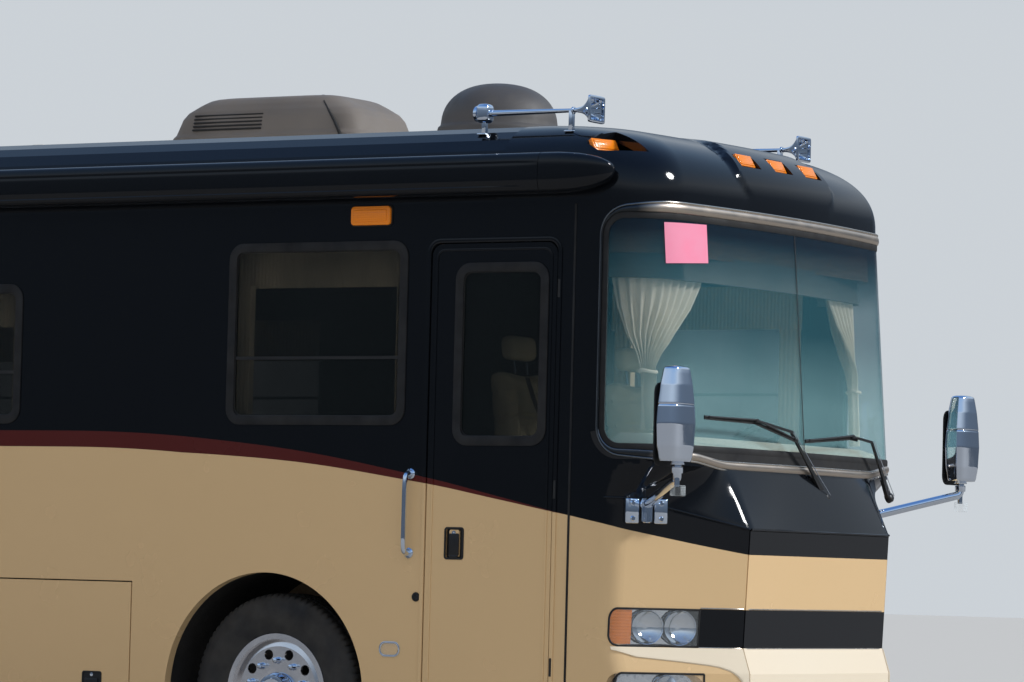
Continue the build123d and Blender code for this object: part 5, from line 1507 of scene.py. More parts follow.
def fascia_point(t, z, out=0.0):
    """A point on the nose between the bumper and the crease."""
    if z >= BAND_Z:
        low, high = Vector((*facet_line(t, BAND_Y, CAP_JOINT_Y), BAND_Z)), crease_point(t)
    elif z >= BUMPER_HIGH:
        low = Vector((*facet_line(t, BUMPER_Y, CAP_JOINT_Y), BUMPER_HIGH))
        high = Vector((*facet_line(t, BAND_Y, CAP_JOINT_Y), BAND_Z))
    else:
        low = Vector((*facet_line(t, BUMPER_Y, CAP_JOINT_Y), 0.46))
        high = Vector((*facet_line(t, BUMPER_Y, CAP_JOINT_Y), BUMPER_HIGH))
    point = low.lerp(high, (z - low.z) / (high.z - low.z))
    turn = (pi / 2 - FACET_ANGLE) * (t - 1) if 1 < t <= 2 else (0 if t <= 1 else pi / 2 - FACET_ANGLE)
    face = Vector((cos(turn), -sin(turn), 0)) if t <= 3 else Vector((0, -1, 0))
    return point + face * out


def t_at_x(x):
    """Where x lies along the facet or the corner, as t."""
    end_x = HALF_WIDTH - FACET_R + FACET_R * cos(pi / 2 - FACET_ANGLE)
    if x <= end_x:
        return 2 + (end_x - x) / (end_x - FACET_X)
    return 1 + acos((x - HALF_WIDTH + FACET_R) / FACET_R) / (pi / 2 - FACET_ANGLE)


print("facet at the lamp:", [round(v, 3) for v in fascia_point(2.5, 0.912)])

# %% [markdown]
# Each headlamp holds two round bowls side by side and an amber turn lamp at its outer end. The solid
# lens and bowl give the outline. Here the lens is a thin shell over a bright tray with turned bowls,
# bulbs and bezels, so that light enters, bounces and comes back as it does in a real lamp.

# %% Headlamps and fog lamps
LAMP_INNER, LAMP_OUTER_T, AMBER_X = 0.930, 1.50, 1.192
LAMP_LOW, LAMP_HIGH = 0.824, 1.000
FOG_LOW, FOG_HIGH = 0.560, 0.684


def lamp_outline(low, high, grow=0.0, waves=False):
    """Points round a lamp opening, as t and z."""
    inner_t, outer_t = t_at_x(LAMP_INNER) + grow * 1.7, LAMP_OUTER_T - grow * 6
    radius, ring = 0.055 + grow, []
    t_radius = radius * 5.5
    for step in range(19):
        ring.append((inner_t + (outer_t + t_radius - inner_t) * step / 18, high + grow))
    for step in range(1, 8):
        angle = pi / 2 * step / 7
        ring.append((outer_t + t_radius * (1 - sin(angle)), high + grow - radius * (1 - cos(angle))))
    for step in range(1, 8):
        angle = pi / 2 * step / 7
        ring.append((outer_t + t_radius * (1 - cos(angle)), low - grow + radius * (1 - sin(angle))))
    for step in range(1, 19):
        t = outer_t + t_radius + (inner_t - outer_t - t_radius) * step / 18
        under_bowls = [max(0, cos((t - middle) * pi / 0.30)) for middle in (2.18, 2.54)]
        dip = 0.005 * under_bowls[0] + 0.005 * under_bowls[1] if waves else 0
        ring.append((t, low - grow - dip))
    return ring


def lamp_sheet(low, high, out, t_from=None, inset=0.0):
    """A sheet that fills a lamp opening, rounded at its outer end."""
    inner_t, outer_t = t_from or t_at_x(LAMP_INNER), LAMP_OUTER_T

    def rule(u, v):
        t = inner_t + (outer_t - inner_t) * u
        near_end = min(max((LAMP_OUTER_T + 0.30 - t) / 0.30, 0), 1)
        pinch = 0.055 * (1 - sqrt(max(1 - near_end**2, 0)))
        z = low + pinch + inset + (high - low - 2 * pinch - 2 * inset) * v
        return fascia_point(t, z, out)

    return new_sheet(28, 8, rule)


def lamp_tray(low, high):
    """A bright open tray behind the lens, with its rim at the surface."""
    inner_t, outer_t = t_at_x(LAMP_INNER), LAMP_OUTER_T

    def rule(u, v):
        at_edge = u < 0.001 or u > 0.999 or v < 0.001 or v > 0.999
        u, v = min(max((u - 0.05) / 0.9, 0), 1), min(max((v - 0.1) / 0.8, 0), 1)
        out = -0.002 if at_edge else -0.046
        return fascia_point(inner_t + (outer_t - inner_t) * u, low + (high - low) * v, out)

    return new_sheet(20, 10, rule)


def lamp_bowl(reach, z, radius, front_y):
    """A turned bowl, a bezel and a bulb, set square to the facet."""
    centre = Vector((FACET_X, front_y, z)) + FACET_ALONG * reach
    at = facing_out(centre - FACET_OUT * 0.008, FACET_OUT)
    deep = 0.038
    bowl = [(0.004 + (radius - 0.004) * s / 9, -deep + deep * (s / 9) ** 2) for s in range(10)]
    bezel = ((radius, -0.004), (radius + 0.0045, -0.001), (radius + 0.007, 0.001), (radius + 0.009, -0.006))
    bulb = ((0, 0.000), (0.006, -0.002), (0.008, -0.008), (0.008, -0.030), (0.011, -0.032), (0.011, -deep))
    parts = ((bowl, 40), (bezel, 40), (bulb, 20))
    return [moved(new_turned(outline, steps), at) for outline, steps in parts]


trays = [lamp_tray(LAMP_LOW, LAMP_HIGH), lamp_tray(FOG_LOW, FOG_HIGH)]
bowls, bezels, bulbs = zip(lamp_bowl(0.335, 0.912, 0.080, BAND_Y - 0.003),
                           lamp_bowl(0.505, 0.912, 0.078, BAND_Y - 0.003),
                           lamp_bowl(0.430, 0.622, 0.052, BUMPER_Y))
LENS_OUT, LENS_WALL = 0.0005, 0.003
lenses = [thickened(lamp_sheet(*limits, LENS_OUT), LENS_WALL)
          for limits in ((LAMP_LOW, LAMP_HIGH), (FOG_LOW, FOG_HIGH))]
amber = thickened(lamp_sheet(LAMP_LOW, LAMP_HIGH, -0.004, t_at_x(AMBER_X), 0.004), 0.004)
add_piece("lamp_glass", both(joined(lenses)), clear_lens, replaces=("lamp_lenses",))
add_piece("lamp_trays", both(joined([*trays, *bowls])), reflector, replaces=("lamp_bowls",),
          outward=False)
add_piece("lamp_bezels", both(joined(bezels)), chrome, outward=False)
add_piece("lamp_bulbs", both(joined(bulbs)), clear_lens, outward=False)
add_piece("turn_lenses", both(amber), turn_lens)
seals = []
for low, high, waves in ((LAMP_LOW, LAMP_HIGH, True), (FOG_LOW, FOG_HIGH, False)):
    ring = lamp_outline(low, high, 0.002, waves)
    seals.append(new_bar([fascia_point(t, z, 0.0) for t, z in ring + ring[:1]], 0.0055, 10))
add_piece("lamp_seals", both(joined(seals)), seal_rubber)
print("lamps:", 4)

# %% [markdown]
# Under the lamps the bumper's bright top laps over the tan lip round the fog lamp. It is a second
# moulding there, so it is modelled as one: a thin sheet whose lower edge follows the curve of the lip.

# %% Bumper top
# Distance from the middle, then the height of the lip's edge there.
LIP = (
    (0.752, 0.540), (0.762, 0.600), (0.776, 0.645), (0.795, 0.675), (0.82, 0.700), (0.86, 0.719),
    (0.90, 0.728), (1.012, 0.744), (1.18, 0.764), (1.262, 0.797),
)
cream_paint = new_finish("cream_paint", CREAM, 0.2, Specular_IOR_Level=0.32)
mottle(cream_paint, CREAM, (0.80, 0.71, 0.56), 1.5)
uneven_gloss(cream_paint, 0.16, 0.24, 3.0)


def bumper_top_rule(u, v):
    x = LIP[0][0] + (LIP[-1][0] - LIP[0][0]) * u**1.5
    low = line_value(LIP, x)
    return fascia_point(t_at_x(x), low + (0.814 - low) * v, 0.007 * min(1, 14 * v))


bumper_top = thickened(new_sheet(64, 16, bumper_top_rule), 0.005)
add_piece("bumper_top", both(bumper_top), cream_paint)
print("bumper top: one moulding on each side")

# %% [markdown]
# Thin bright lines edge the dark band between the headlamps, and a rounded bead runs along the crease
# to catch the light as the rolled edge of the real moulding does.

# %% Nose trims
LINE_START = t_at_x(0.925)


def band_line(z, radius):
    """A bright line across the nose at one height, from the lamps to the middle."""
    return new_bar([fascia_point(LINE_START + (4 - LINE_START) * s / 16, z) for s in range(17)], radius, 8)


band_lines = joined([band_line(1.011, 0.0032), band_line(0.816, 0.0028)])
add_piece("band_lines", both(band_lines), champagne)
bead = new_bar([crease_point(1.02 + 1.97 * s / 24) + Vector((0, 0, 0.001)) for s in range(25)], 0.006, 10)
add_piece("crease_beads", both(bead), paint)
bead_points = [Vector((x, CREASE_Y, CREASE_Z + 0.001)) for x in (-0.738, -0.25, 0.25, 0.738)]
front_bead = new_bar(bead_points, 0.006, 10)
add_piece("front_crease_bead", front_bead, paint)
print("nose trims ready")

# %% [markdown]
# The two cab seats are the soft pieces that show through the windshield. A real cushion is cut foam in
# a sewn leather cover, so it crowns in the middle and pulls in at the seams. Sculpting would do it,
# but a short cloth simulation with air pressure inside finds that shape by itself: a block is
# remeshed into even small faces, blown up for twenty frames, and kept from swelling past its place.

# %% Seat pads
SEAT_Z, SEAT_REAR_Y = 1.48, -4.70
KERB_SEAT_X, STREET_SEAT_X = -0.62, 0.52
SEAT_LEAN = atan2(0.12, 1)
VOXEL, PAD_FRAMES, PAD_RISE = 0.006, 20, 0.026


def as_object(bm, name="pad"):
    """A plain object made from a bmesh, linked to the scene."""
    mesh = bpy.data.meshes.new(name)
    bm.to_mesh(mesh)
    bm.free()
    made = bpy.data.objects.new(name, mesh)
    bpy.context.scene.collection.objects.link(made)
    return made


def puffed(bm, name, rise=PAD_RISE):
    """Remeshes a closed shape, blows it up as cloth and caps how far each point moves."""
    pad = as_object(bm, name)
    remesh = pad.modifiers.new("remesh", "REMESH")
    remesh.mode = "VOXEL"
    remesh.voxel_size = VOXEL
    keep_modifiers(pad)
    start = [vert.co.copy() for vert in pad.data.vertices]
    cloth = pad.modifiers.new("cloth", "CLOTH")
    cloth.settings.use_pressure = True
    cloth.settings.uniform_pressure_force = 4
    cloth.settings.effector_weights.gravity = 0
    cloth.settings.quality = 4
    cloth.point_cache.frame_start = 1
    cloth.point_cache.frame_end = PAD_FRAMES
    for frame_number in range(1, PAD_FRAMES + 1):
        bpy.context.scene.frame_set(frame_number)
    keep_modifiers(pad)
    for vert, before in zip(pad.data.vertices, start):
        move = vert.co - before
        if move.length > rise:
            vert.co = before + move.normalized() * rise
    bpy.context.scene.frame_set(1)
    shape = bmesh.new()
    shape.from_mesh(pad.data)
    for _ in range(3):
        bmesh.ops.smooth_vert(shape, verts=shape.verts, factor=0.5, use_axis_x=True, use_axis_y=True,
                              use_axis_z=True)
    bpy.data.meshes.remove(pad.data)
    return shape


def channelled(bm, spots, depth, width, way):
    """Presses sewn lines into a pad: each spot is a height along z or y where a seam runs across."""
    for vert in bm.verts:
        near = min(abs(vert.co[way] - spot) for spot in spots)
        vert.co.y += depth * max(0, 1 - near / width) * (1 if vert.co.y < 0 else -1) if way == 2 else 0
        vert.co.z -= depth * max(0, 1 - near / width) if way == 1 and vert.co.z > 0 else 0
    return bm


back_at = put((0, SEAT_REAR_Y - 0.03, SEAT_Z + 0.13)) @ Matrix.Rotation(-SEAT_LEAN, 4, "X")
cushion = puffed(new_block((0.49, 0.48, 0.115), 0.035, 4), "cushion")
cushion = channelled(cushion, (-0.02, 0.12), 0.010, 0.016, 1)
backrest = puffed(new_block((0.49, 0.105, 0.52), 0.035, 4), "backrest")
backrest = channelled(backrest, (-0.12, 0.02, 0.15), 0.009, 0.016, 2)
headrest = puffed(new_block((0.255, 0.085, 0.125), 0.035, 4), "headrest", 0.02)
seat_parts = [
    moved(cushion, put((0, -4.965, SEAT_Z + 0.078))),
    moved(backrest, back_at @ put((0, 0.0, 0.33))),
    moved(headrest, back_at @ put((0, 0.0, 0.715))),
]
posts = [moved(new_bar([(x, 0, 0.58), (x, 0, 0.70)], 0.007, 12), back_at) for x in (-0.06, 0.06)]
arm_rests = [moved(new_block((0.055, 0.34, 0.07), 0.024, 4), put((x, -4.93, SEAT_Z + 0.27), (4, 0, 0)))
             for x in (-0.275, 0.275)]
print("seat pads:", sum(len(part.faces) for part in seat_parts), "faces")

# %% [markdown]
# The pads are made once about the middle and copied to each seat, since a cloth run takes a while.

# %% Seats in place
for seat_name, seat_x in (("kerb", KERB_SEAT_X), ("street", STREET_SEAT_X)):
    for part_name, part in zip(("cushion", "backrest", "headrest"), seat_parts):
        copy = part.copy()
        bmesh.ops.translate(copy, vec=(seat_x, 0, 0), verts=copy.verts)
        pad = add_piece(f"{seat_name}_{part_name}", copy, leather,
                        replaces=("cab_seats",), sharp=180, outward=False)
    for index, arm_rest in enumerate(arm_rests):
        copy = arm_rest.copy()
        bmesh.ops.translate(copy, vec=(seat_x, 0, 0), verts=copy.verts)
        pad = add_piece(f"{seat_name}_arm_rest_{index}", copy, leather,
                        replaces=("cab_seats",), sharp=180)
    metal = [post.copy() for post in posts]
    add_piece(f"{seat_name}_head_posts", moved(joined(metal), put((seat_x, 0, 0))), chrome)
for part in (*seat_parts, *posts, *arm_rests):
    part.free()


def belt_rule(u, v):
    """A webbing that falls from the wall beside the kerb seat."""
    x = KERB_SEAT_X - 0.20 + 0.36 * v + 0.046 * (u - 0.5)
    return Vector((x, SEAT_REAR_Y - 0.125 - 0.25 * v * v, 2.16 - 0.56 * v - 0.04 * sin(pi * v)))


belt = new_sheet(3, 30, belt_rule)
bmesh.ops.solidify(belt, geom=belt.faces[:], thickness=0.0015)
add_piece("seat_belt", belt, make_cloth("belt_webbing", (0.05, 0.045, 0.03), (0.08, 0.07, 0.05), 1600))
print("seats: 2")

# %% [markdown]
# Pleated curtains hang from a track behind the corners of the windshield and are tied back at the
# side. Cloth could be dropped and gathered by simulation, but pleats that a person has dressed by
# hand are regular, so a sheet with even folds that close up towards the tie looks more like them.

# %% Cab curtains
CURTAIN_TOP, CURTAIN_FOOT, CURTAIN_INSET, FOLDS = 2.757, 1.885, 0.145, 10
# Height, then where the back and front edges of the curtain hang, measured along its track.
CURTAIN_EDGES = (
    (1.88, 0.272, 0.338), (2.03, 0.270, 0.345), (2.15, 0.264, 0.338), (2.20, 0.256, 0.334),
    (2.27, 0.232, 0.366), (2.36, 0.180, 0.450), (2.50, 0.125, 0.600), (2.62, 0.096, 0.690),
    (2.76, 0.070, 0.740),
)


def track_point(s, z, inset):
    """A point on the curtain track, a hand's width inside the glass, s metres from its rear end."""
    front, end = front_at(z), CORNER_END
    corner_x, corner_y = corner_centre(front)
    bend, s = CORNER_R - CURTAIN_INSET, s + 5.405 + corner_y
    if s <= 0:
        return Vector((HALF_WIDTH - inset, corner_y - s, z))
    if s <= bend * (pi / 2 - end):
        angle = pi / 2 - s / bend
        return Vector((corner_x, corner_y, z)) + Vector((sin(angle), -cos(angle), 0)) * (CORNER_R - inset)
    angle = end - (s - bend * (pi / 2 - end)) / (GLASS_R - CURTAIN_INSET)
    return Vector((0, front + GLASS_R, z)) + Vector((sin(angle), -cos(angle), 0)) * (GLASS_R - inset)


def curtain_rule(u, v):
    """A pleated sheet on the track, tied in at its waist; u runs forward and v down."""
    z = CURTAIN_TOP + (CURTAIN_FOOT - CURTAIN_TOP) * v
    rear = line_value([(a, b) for a, b, c in CURTAIN_EDGES], z)
    front = line_value([(a, c) for a, b, c in CURTAIN_EDGES], z)
    slack = 1 - (front - rear) / 0.65
    fold = sin(2 * pi * FOLDS * u + 0.5 * sin(4 * v + 2 * u))
    depth = (0.009 + 0.009 * slack) * fold + 0.018 * slack * cos(pi * (u - 0.5))
    return track_point(rear + (front - rear) * u, z, CURTAIN_INSET + depth)


def sheet_area(bm):
    """The area of one side of a cloth sheet."""
    return sum(face.calc_area() for face in bm.faces)


for side_name, side in SIDES.items():
    cloth = new_sheet(150, 44, curtain_rule)
    if side == KERB:
        bmesh.ops.scale(cloth, vec=(-1, 1, 1), verts=cloth.verts)
    area = sheet_area(cloth)
    piece = add_piece(f"curtain_{side_name}", cloth, curtain_cloth,
                      replaces=("curtains",), sharp=180)
tie = new_bar([track_point(0.298 + 0.044 * cos(a * pi / 8), 2.175 + 0.004 * sin(a * pi / 4),
                           0.145 + 0.034 * sin(a * pi / 8))
               for a in range(17)], 0.009, 8)
add_piece("curtain_ties", both(tie), curtain_cloth)


def header_rule(u, v):
    """The padded board that hides the curtain track, just inside the glass."""
    return track_point(0.02 + 1.50 * u, 2.64 + 0.135 * v, 0.105 + 0.006 * sin(pi * v))


header = both(new_sheet(40, 5, header_rule))
bmesh.ops.remove_doubles(header, verts=header.verts, dist=0.02)
thickened(header, 0.012)
# The board's near-black colour is painted shade: it fills the shaded area under the overhead cabinet.
header_vinyl_painted_shade = make_grained("header_vinyl_painted_shade", (0.10, 0.095, 0.085), (0.14, 0.13, 0.115), 0.6, 300, 0.001)
add_piece("track_header", header, header_vinyl_painted_shade)

# %% [markdown]
# A tyre is a turned section with grooves, cut across into blocks. The section is swept by a rule, and
# every other column near the tread edge sinks to make the shoulder blocks. The same rule serves the
# front tyres and the rear pairs, each riding on its own wheel.

# %% Tyres
TYRE_R, AXLE_FRONT, AXLE_REAR = 0.515, -3.55, 3.10
# Half of the section: distance from the middle plane, radius.
TYRE_SECTION = (
    (0.000, 0.5145), (0.016, 0.5145), (0.018, 0.503), (0.026, 0.503), (0.028, 0.5145), (0.058, 0.514),
    (0.060, 0.5025), (0.068, 0.5025), (0.070, 0.5138), (0.098, 0.5125), (0.112, 0.509), (0.120, 0.503),
    (0.129, 0.488), (0.1345, 0.468), (0.1375, 0.450), (0.1385, 0.447), (0.1395, 0.430), (0.1395, 0.410),
    (0.1365, 0.385), (0.131, 0.362), (0.124, 0.340), (0.119, 0.322), (0.1175, 0.312), (0.1165, 0.311),
    (0.1155, 0.300), (0.114, 0.292), (0.113, 0.287),
)
TREAD_BLOCKS = 84


def tyre_rule(u, v):
    """The tyre at the origin, with its axle along x."""
    columns = TREAD_BLOCKS * 4
    steps = len(TYRE_SECTION) - 1
    row = round(v * 2 * steps) - steps
    x, radius = TYRE_SECTION[abs(row)]
    x = x if row >= 0 else -x
    column = round(u * columns)
    if radius > 0.49 and abs(x) > 0.066 and column % 4 == 0:
        radius -= 0.009 * smooth_step(radius, 0.490, 0.505)
    elif radius > 0.513 and column % 4 == 2:
        radius -= 0.004
    angle = 2 * pi * (u + (0.0012 if row > 0 else -0.0012) * (abs(x) > 0.066))
    return Vector((x, radius * cos(angle), radius * sin(angle)))


def tyre_at(x, y):
    """One tyre in its place, closed where the sweep meets itself."""
    bm = new_sheet(TREAD_BLOCKS * 4, 2 * (len(TYRE_SECTION) - 1), tyre_rule)
    bmesh.ops.remove_doubles(bm, verts=bm.verts, dist=0.00004)
    return moved(bm, put((x, y, TYRE_R)))


for side_name, side in SIDES.items():
    add_piece(f"front_tread_{side_name}", tyre_at(side * 1.035, AXLE_FRONT), tyre_rubber,
              body=f"front_wheel_{side_name}", replaces=(f"front_tyre_{side_name}",), sharp=30)
    pair = joined([tyre_at(side * 0.735, AXLE_REAR), tyre_at(side * 1.065, AXLE_REAR)])
    add_piece(f"rear_tread_{side_name}", pair, tyre_rubber,
              body=f"rear_wheels_{side_name}", replaces=(f"rear_tyres_{side_name}",), sharp=30)
print("tyres: 6, with", TREAD_BLOCKS, "blocks round each edge")

# %% [markdown]
# Wheels get their nuts and hub covers. Ten covered nuts stand between the hand holes, and a stepped cap
# hides the bearing. All are turned parts, repeated round the axle and mirrored to the other side.

# %% Wheel nuts and hub caps
NUT_PCD, NUTS = 0.335, 10
NUT_OUTLINE = (
    (0.018, 0.000), (0.0185, 0.006), (0.0165, 0.009), (0.0160, 0.030), (0.013, 0.040), (0.006, 0.044),
    (0, 0.044),
)
FRONT_CAP = (
    (0.104, 0.004), (0.106, 0.012), (0.100, 0.018), (0.096, 0.050), (0.090, 0.060), (0.050, 0.066),
    (0.046, 0.064), (0.040, 0.066), (0, 0.067),
)
REAR_CAP = (
    (0.104, 0.010), (0.106, 0.020), (0.098, 0.026), (0.095, 0.118), (0.088, 0.130), (0.060, 0.135),
    (0, 0.137),
)


def wheel_dress(disc_x, y, cap):
    """Nuts, hub cap and cap bolts of one kerb wheel, about its axle."""
    out = Matrix.Rotation(-pi / 2, 4, "Y")
    parts = [moved(new_turned(cap, 56), put((-disc_x, y, TYRE_R)) @ out)]
    for number in range(NUTS):
        angle = 2 * pi * (number + 0.5) / NUTS
        at = put((-disc_x, y + NUT_PCD / 2 * cos(angle), TYRE_R + NUT_PCD / 2 * sin(angle)))
        parts.append(moved(new_turned(NUT_OUTLINE, 12), at @ out))
    bolts = [put((-disc_x - cap[-3][1] + 0.004, y + 0.072 * cos(a * pi / 4),
                  TYRE_R + 0.072 * sin(a * pi / 4))) for a in range(8)]
    parts += [moved(new_turned(((0.007, 0), (0.007, 0.004), (0.005, 0.006), (0, 0.006)), 6), at @ out)
              for at in bolts]
    return joined(parts)


for side_name, side in SIDES.items():
    for kind, disc_x, y, cap in (("front_wheel", 1.136, AXLE_FRONT, FRONT_CAP),
                                 ("rear_wheels", 0.914, AXLE_REAR, REAR_CAP)):
        dress = wheel_dress(disc_x, y, cap)
        if side == STREET:
            bmesh.ops.scale(dress, vec=(-1, 1, 1), verts=dress.verts)
        add_piece(f"{kind}_{side_name}_nuts", dress, chrome, body=f"{kind}_{side_name}",
                  sharp=40)
print("wheel nuts:", 4 * NUTS)

# %% [markdown]
# The dish dome and the two air conditioners are moulded covers. The dome turns from one outline. Each
# air conditioner is a sheet of soft-cornered sections that shrink as they rise, so its edges stay
# round like a moulding's, with dark vents let into its flanks.

# %% Dome and air conditioners
DISH_Y, AIR_YS = -4.10, (-2.765, 2.30)
dome_outline = [(0.33, 0.0), (0.331, 0.08), (0.327, 0.092), (0.318, 0.099), (0.314, 0.106)]
dome_outline += [(0.312 * cos(radians(5 * n)) ** 0.86, 0.106 + 0.228 * sin(radians(5 * n)) ** 0.92)
                 for n in range(1, 18)]
dome_outline.append((0, 0.3345))
dish = moved(new_turned(dome_outline, 88), put((0, DISH_Y, ROOF_Z)))
add_piece("dome_shell", dish, dome_grey, replaces=("satellite_dome",), sharp=60)
seat_ring = new_turned(((0.325, 0), (0.345, 0), (0.345, 0.008), (0.332, 0.014), (0.325, 0.014)), 88)
add_piece("dome_seal", moved(seat_ring, put((0, DISH_Y, ROOF_Z))), seal_rubber)
AIR_POWER, AIR_HEIGHT = 0.3, 0.293
# Share of the height, then half width and half length there.
AIR_SECTIONS = (
    (0.00, 0.345, 0.650), (0.24, 0.342, 0.643), (0.27, 0.336, 0.634), (0.30, 0.330, 0.626),
    (0.60, 0.314, 0.590), (0.72, 0.300, 0.560), (0.86, 0.272, 0.490), (0.95, 0.245, 0.440),
    (1.00, 0.205, 0.390),
)


def air_rule(u, v):
    """A soft-cornered section of the cover: u goes round it and v up it, closing over the top."""
    share = min(v / 0.88, 1)
    close = 1 if v < 0.88 else (1 - v) / 0.12
    half_x = line_value([(a, b) for a, b, c in AIR_SECTIONS], share) * close
    half_y = line_value([(a, c) for a, b, c in AIR_SECTIONS], share) * close
    x, y = soft_square(u, AIR_POWER)
    return Vector((half_x * x, half_y * y, AIR_HEIGHT * share))


covers, vents = [], []
for y_at in AIR_YS:
    here = put((0, y_at, ROOF_Z))
    covers.append(moved(new_sheet(120, 44, air_rule), here))
    for side in (KERB, STREET):
        for number in range(5):
            slot = new_block((0.012, 0.46, 0.010), 0.004, 2)
            vents.append(moved(slot,
                               here @ put((side * (0.328 - 0.0055 * number), 0.22, 0.108 + 0.020 * number),
                                          (0, side * -12, 0))))
        gap = new_bar([(side * 0.331, -0.545, 0.035), (side * 0.326, -0.505, 0.110),
                       (side * 0.300, -0.430, 0.200),
                       (side * 0.262, -0.375, 0.252)], 0.0085, 10, smooth=True, ends=(1.3, 0.5))
        vents.append(moved(gap, here))
    for x in (-0.16, 0.16):
        vents.append(moved(new_turned(((0, 0), (0.009, 0), (0.009, 0.003), (0.006, 0.006), (0, 0.006)), 12),
                           here @ put((x, -0.30, 0.291))))
add_piece("air_covers", joined(covers), shroud, replaces=("air_conditioners",), sharp=50)
add_piece("air_vents", joined(vents), liner_black, sharp=50)
print("roof covers: 3")

# %% [markdown]
# The top of the roof is a pale membrane glued down between the painted shoulders. It is seen only from
# above, where a bare black roof would look unfinished, so it gets its lap seams, lids and vent caps.

# %% Roof membrane and lids
ROOF_HALF, ROOF_FRONT, ROOF_END = 0.79, -4.78, 5.80
skin = moved(new_plate(2 * ROOF_HALF, ROOF_END - ROOF_FRONT, 0.006, 0.10, 6, 0.003),
             put((0, (ROOF_FRONT + ROOF_END) / 2, ROOF_Z)))
laps = [moved(new_block((2 * ROOF_HALF - 0.02, 0.075, 0.004), 0.0018), put((0, y, ROOF_Z + 0.007)))
        for y in (-1.6, 1.0, 3.6)]
add_piece("roof_membrane", joined([skin, *laps]), roof_skin)
VENT_CAP = (
    (0, 0), (0.075, 0), (0.075, 0.010), (0.045, 0.016), (0.042, 0.060), (0.062, 0.066), (0.066, 0.080),
    (0.050, 0.096), (0, 0.100),
)
lids = []
for x, y in ((-0.36, -0.55), (0.36, 3.75), (-0.36, 4.80)):
    lids.append(moved(new_plate(0.42, 0.42, 0.055, 0.05, 6, 0.012), put((x, y, ROOF_Z + 0.005))))
    lids.append(moved(new_plate(0.36, 0.36, 0.085, 0.06, 6, 0.030), put((x, y, ROOF_Z + 0.005))))
for x, y in ((0.55, -1.1), (0.50, 0.9), (-0.55, 3.0)):
    lids.append(moved(new_turned(VENT_CAP, 28), put((x, y, ROOF_Z + 0.005))))
add_piece("roof_lids", joined(lids), shroud, sharp=40)
print("roof lids: 6")

# %% [markdown]
# The awning rolls up in a long case on the kerb shoulder of the roof. Its section is a soft rectangle
# with two grooves, and the front end is a fairing that rounds off like a bullet. A sheet of such
# sections, with its stations close together at the joint and the nose, makes it in one piece.

# %% Awning case
AWNING_FRONT, AWNING_REAR, AWNING_MID = -5.60, 0.90, 3.15
STATIONS = (
    0, 0.002, 0.008, 0.020, 0.040, 0.070, 0.110, 0.160, 0.215, 0.270, 0.320, 0.366, 0.370, 0.373, 0.376,
    0.380, 0.5, 0.9, 1.5, 2.2, 3.0, 3.8, 4.6, 5.4, 6.10, 6.104, 6.108, 6.4, 6.486, 6.496, 6.4995, 6.5,
)


def awning_rule(u, v):
    """One section of the case; the fairing at the front closes to a point."""
    reach = STATIONS[round(v * (len(STATIONS) - 1))]
    size = min(1, (reach / 0.34)) if reach < 0.34 else 1
    size = (1 - (1 - size) ** 2.3) ** 0.42
    if reach > 6.48:
        size = (0, 0.5, 0.95, 1)[(reach < 6.5) + (reach < 6.499) + (reach < 6.49)]
    if reach in (0.373, 6.104):
        size *= 0.975
    out, rise = soft_square(u, 0.55)
    grooved = out > 0.5 and 0.38 < reach < 6.1
    groove = max(max(0, 1 - abs(rise - line) / 0.05) for line in (-0.62, 0.45)) if grooved else 0
    x = HALF_WIDTH - 0.002 + 0.074 + (0.074 * out - 0.006 * groove) * size - 0.074 * (1 - size) * 0.7
    return Vector((-x, AWNING_FRONT + reach, AWNING_MID + 0.102 * rise * size + 0.012 * (1 - size)))


case = new_sheet(96, len(STATIONS) - 1, awning_rule)
add_piece("awning_cover", case, paint, replaces=("awning_case",), sharp=42)
feet = [moved(new_block((0.10, 0.09, 0.17), 0.012, 3),
              put((-1.262, AWNING_FRONT + 0.39 + 2.0 * n, AWNING_MID))) for n in range(4)]
add_piece("awning_feet", joined(feet), seal_rubber)
print("awning case:", round(AWNING_REAR - AWNING_FRONT, 2), "m long")

# %% [markdown]
# The slide-out room closes against the wall on a rubber seal, and a flat frame round its face hides the
# gap. The frame rides on the room, so it travels out with it.

# %% Slide-out room trims
SLIDE = (-2.70, 1.10, 1.18, 2.86)
slide_y, slide_z = (SLIDE[0] + SLIDE[1]) / 2, (SLIDE[2] + SLIDE[3]) / 2
slide_size = (SLIDE[1] - SLIDE[0], SLIDE[3] - SLIDE[2])
rim = new_ring(slide_size[0] - 0.004, slide_size[1] - 0.004, 0.055, 0.009, 0.02, 4, 0.003)
lip = new_ring(slide_size[0] - 0.130, slide_size[1] - 0.130, 0.010, 0.006, 0.03, 4, 0.002)
add_piece("slide_frame", moved(rim, on_side(STREET, slide_y, slide_z, 0.0005)), paint,
          body="slide_room")
add_piece("slide_lip", moved(lip, on_side(STREET, slide_y, slide_z, 0.0005)), seal_rubber,
          body="slide_room")
seal = new_ring(slide_size[0] + 0.034, slide_size[1] + 0.034, 0.014, 0.005, 0.02, 4, 0.002)
add_piece("slide_seal", moved(seal, on_side(STREET, slide_y, slide_z, 0.0002)), seal_rubber)
print("slide-out trims ready")

# %% [markdown]
# The tail is plain on such a coach: louvres over the radiator, lamps at the corners and a blank plate.
# None of it shows in the photograph, so these are the usual parts in their usual places.

# %% Tail details
TAIL_Y = 6.09


def on_tail(x, z, out=0.0):
    """A matrix that stands a flat part on the tail, facing backwards."""
    return put((x, TAIL_Y + out, z), (90, 0, 180))


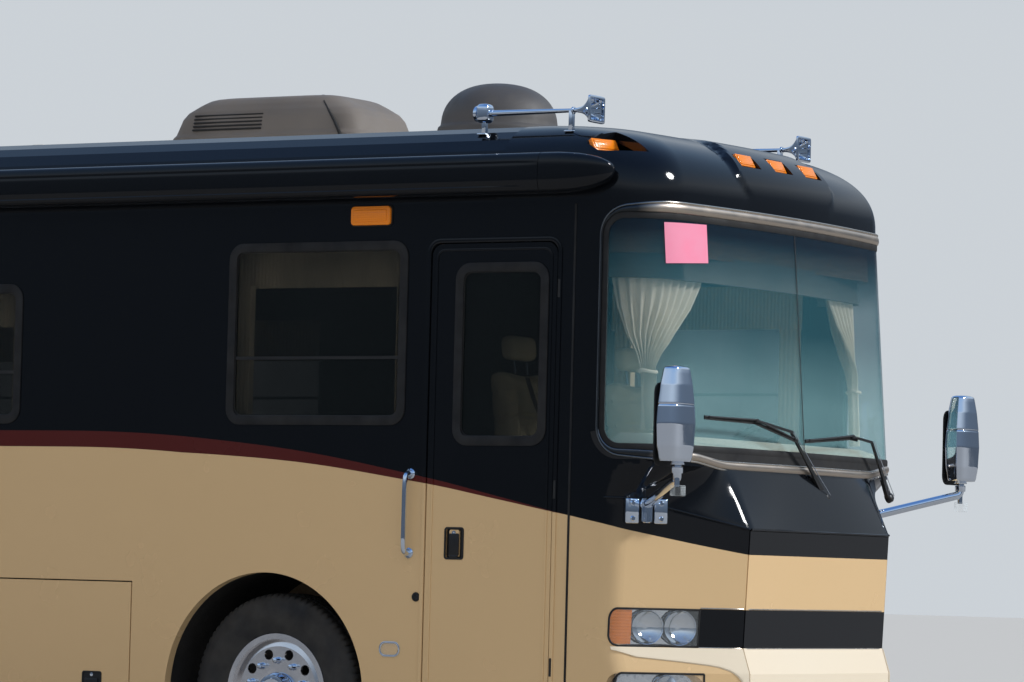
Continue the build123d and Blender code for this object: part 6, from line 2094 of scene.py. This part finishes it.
tail_red, tail_rims, tail_black = [], [], []
for low, high in ((1.12, 1.42), (0.70, 0.80)):
    tail_rims.append(moved(new_ring(0.244, high - low + 0.024, 0.012, 0.010, 0.016, 4, 0.003),
                           on_tail(0.97, (low + high) / 2)))
    rows = 3 if high - low > 0.2 else 1
    for row in range(rows):
        step = (high - low) / rows
        tail_red.append(moved(new_plate(0.212, step - 0.008, 0.010, 0.012, 4, 0.003),
                              on_tail(0.97, low + step * (row + 0.5), 0.0004)))
for x in (0, 0.16, 0.80):
    tail_red.append(moved(new_plate(0.11, 0.032, 0.018, 0.010, 4, 0.005), on_tail(x, 2.93)))
    tail_black.append(moved(new_plate(0.13, 0.048, 0.007, 0.014, 4, 0.002), on_tail(x, 2.93)))
add_piece("tail_lenses", both(joined(tail_red)), red_lens)
add_piece("tail_rims", both(joined(tail_rims)), chrome)
add_piece("tail_bases", both(joined(tail_black)), seal_rubber)
blades = []
for number in range(9):
    z = 0.73 + 0.07 * number
    blades.append(moved(new_block((0.93, 0.040, 0.006), 0.002),
                        put((0, TAIL_Y - 0.020, z + 0.034), (-32, 0, 0))))
blades.append(moved(new_ring(0.96, 0.645, 0.018, 0.006, 0.02, 4, 0.002), on_tail(0, 1.027)))
add_piece("tail_louvres", joined(blades), wiper_black, body="engine_door")
latches = [moved(new_plate(0.075, 0.045, 0.012, 0.010, 4, 0.003), on_tail(x, 0.635)) for x in (-0.58, 0.58)]
add_piece("engine_latches", joined(latches), seal_rubber, body="engine_door")
plate = moved(new_plate(0.305, 0.155, 0.004, 0.012, 4, 0.0015), on_tail(0, 1.46))
plate_white = make_painted_metal("blank_plate", (0.74, 0.74, 0.71), (0.66, 0.66, 0.63), 0.35)
add_piece("blank_plate", plate, plate_white, body="engine_door")
flaps = [moved(new_block((0.60, 0.012, 0.36), 0.005), put((0.90, AXLE_REAR + 0.70, 0.42)))]
add_piece("mud_flaps", both(joined(flaps)), seal_rubber)
print("tail details ready")

# %% [markdown]
# The floor is one plane, pale and matt, so that it takes the vehicle's shadow; in gloss it shows dark grey,
# a painted dark reflection.

# %% Floor
floor_finish = new_finish("pale_floor", FLOOR_COLOR[:3], 0.9)
in_gloss = node(floor_finish, "ShaderNodeLightPath").outputs["Is Glossy Ray"]
# Glossy rays see the floor dark grey: a painted darker reflection in chrome and paint.
shade(floor_finish, "Base Color", mix_color(floor_finish, in_gloss, FLOOR_COLOR, (0.30, 0.30, 0.30, 1)))
bm = bmesh.new()
bmesh.ops.create_grid(bm, x_segments=1, y_segments=1, size=FLOOR_SIZE)
floor_mesh = bpy.data.meshes.new("floor")
bm.to_mesh(floor_mesh)
bm.free()
floor_mesh.materials.append(floor_finish)
floor = bpy.data.objects.new("floor", floor_mesh)
bpy.context.scene.collection.objects.link(floor)
print("floor:", 2 * FLOOR_SIZE, "m across")
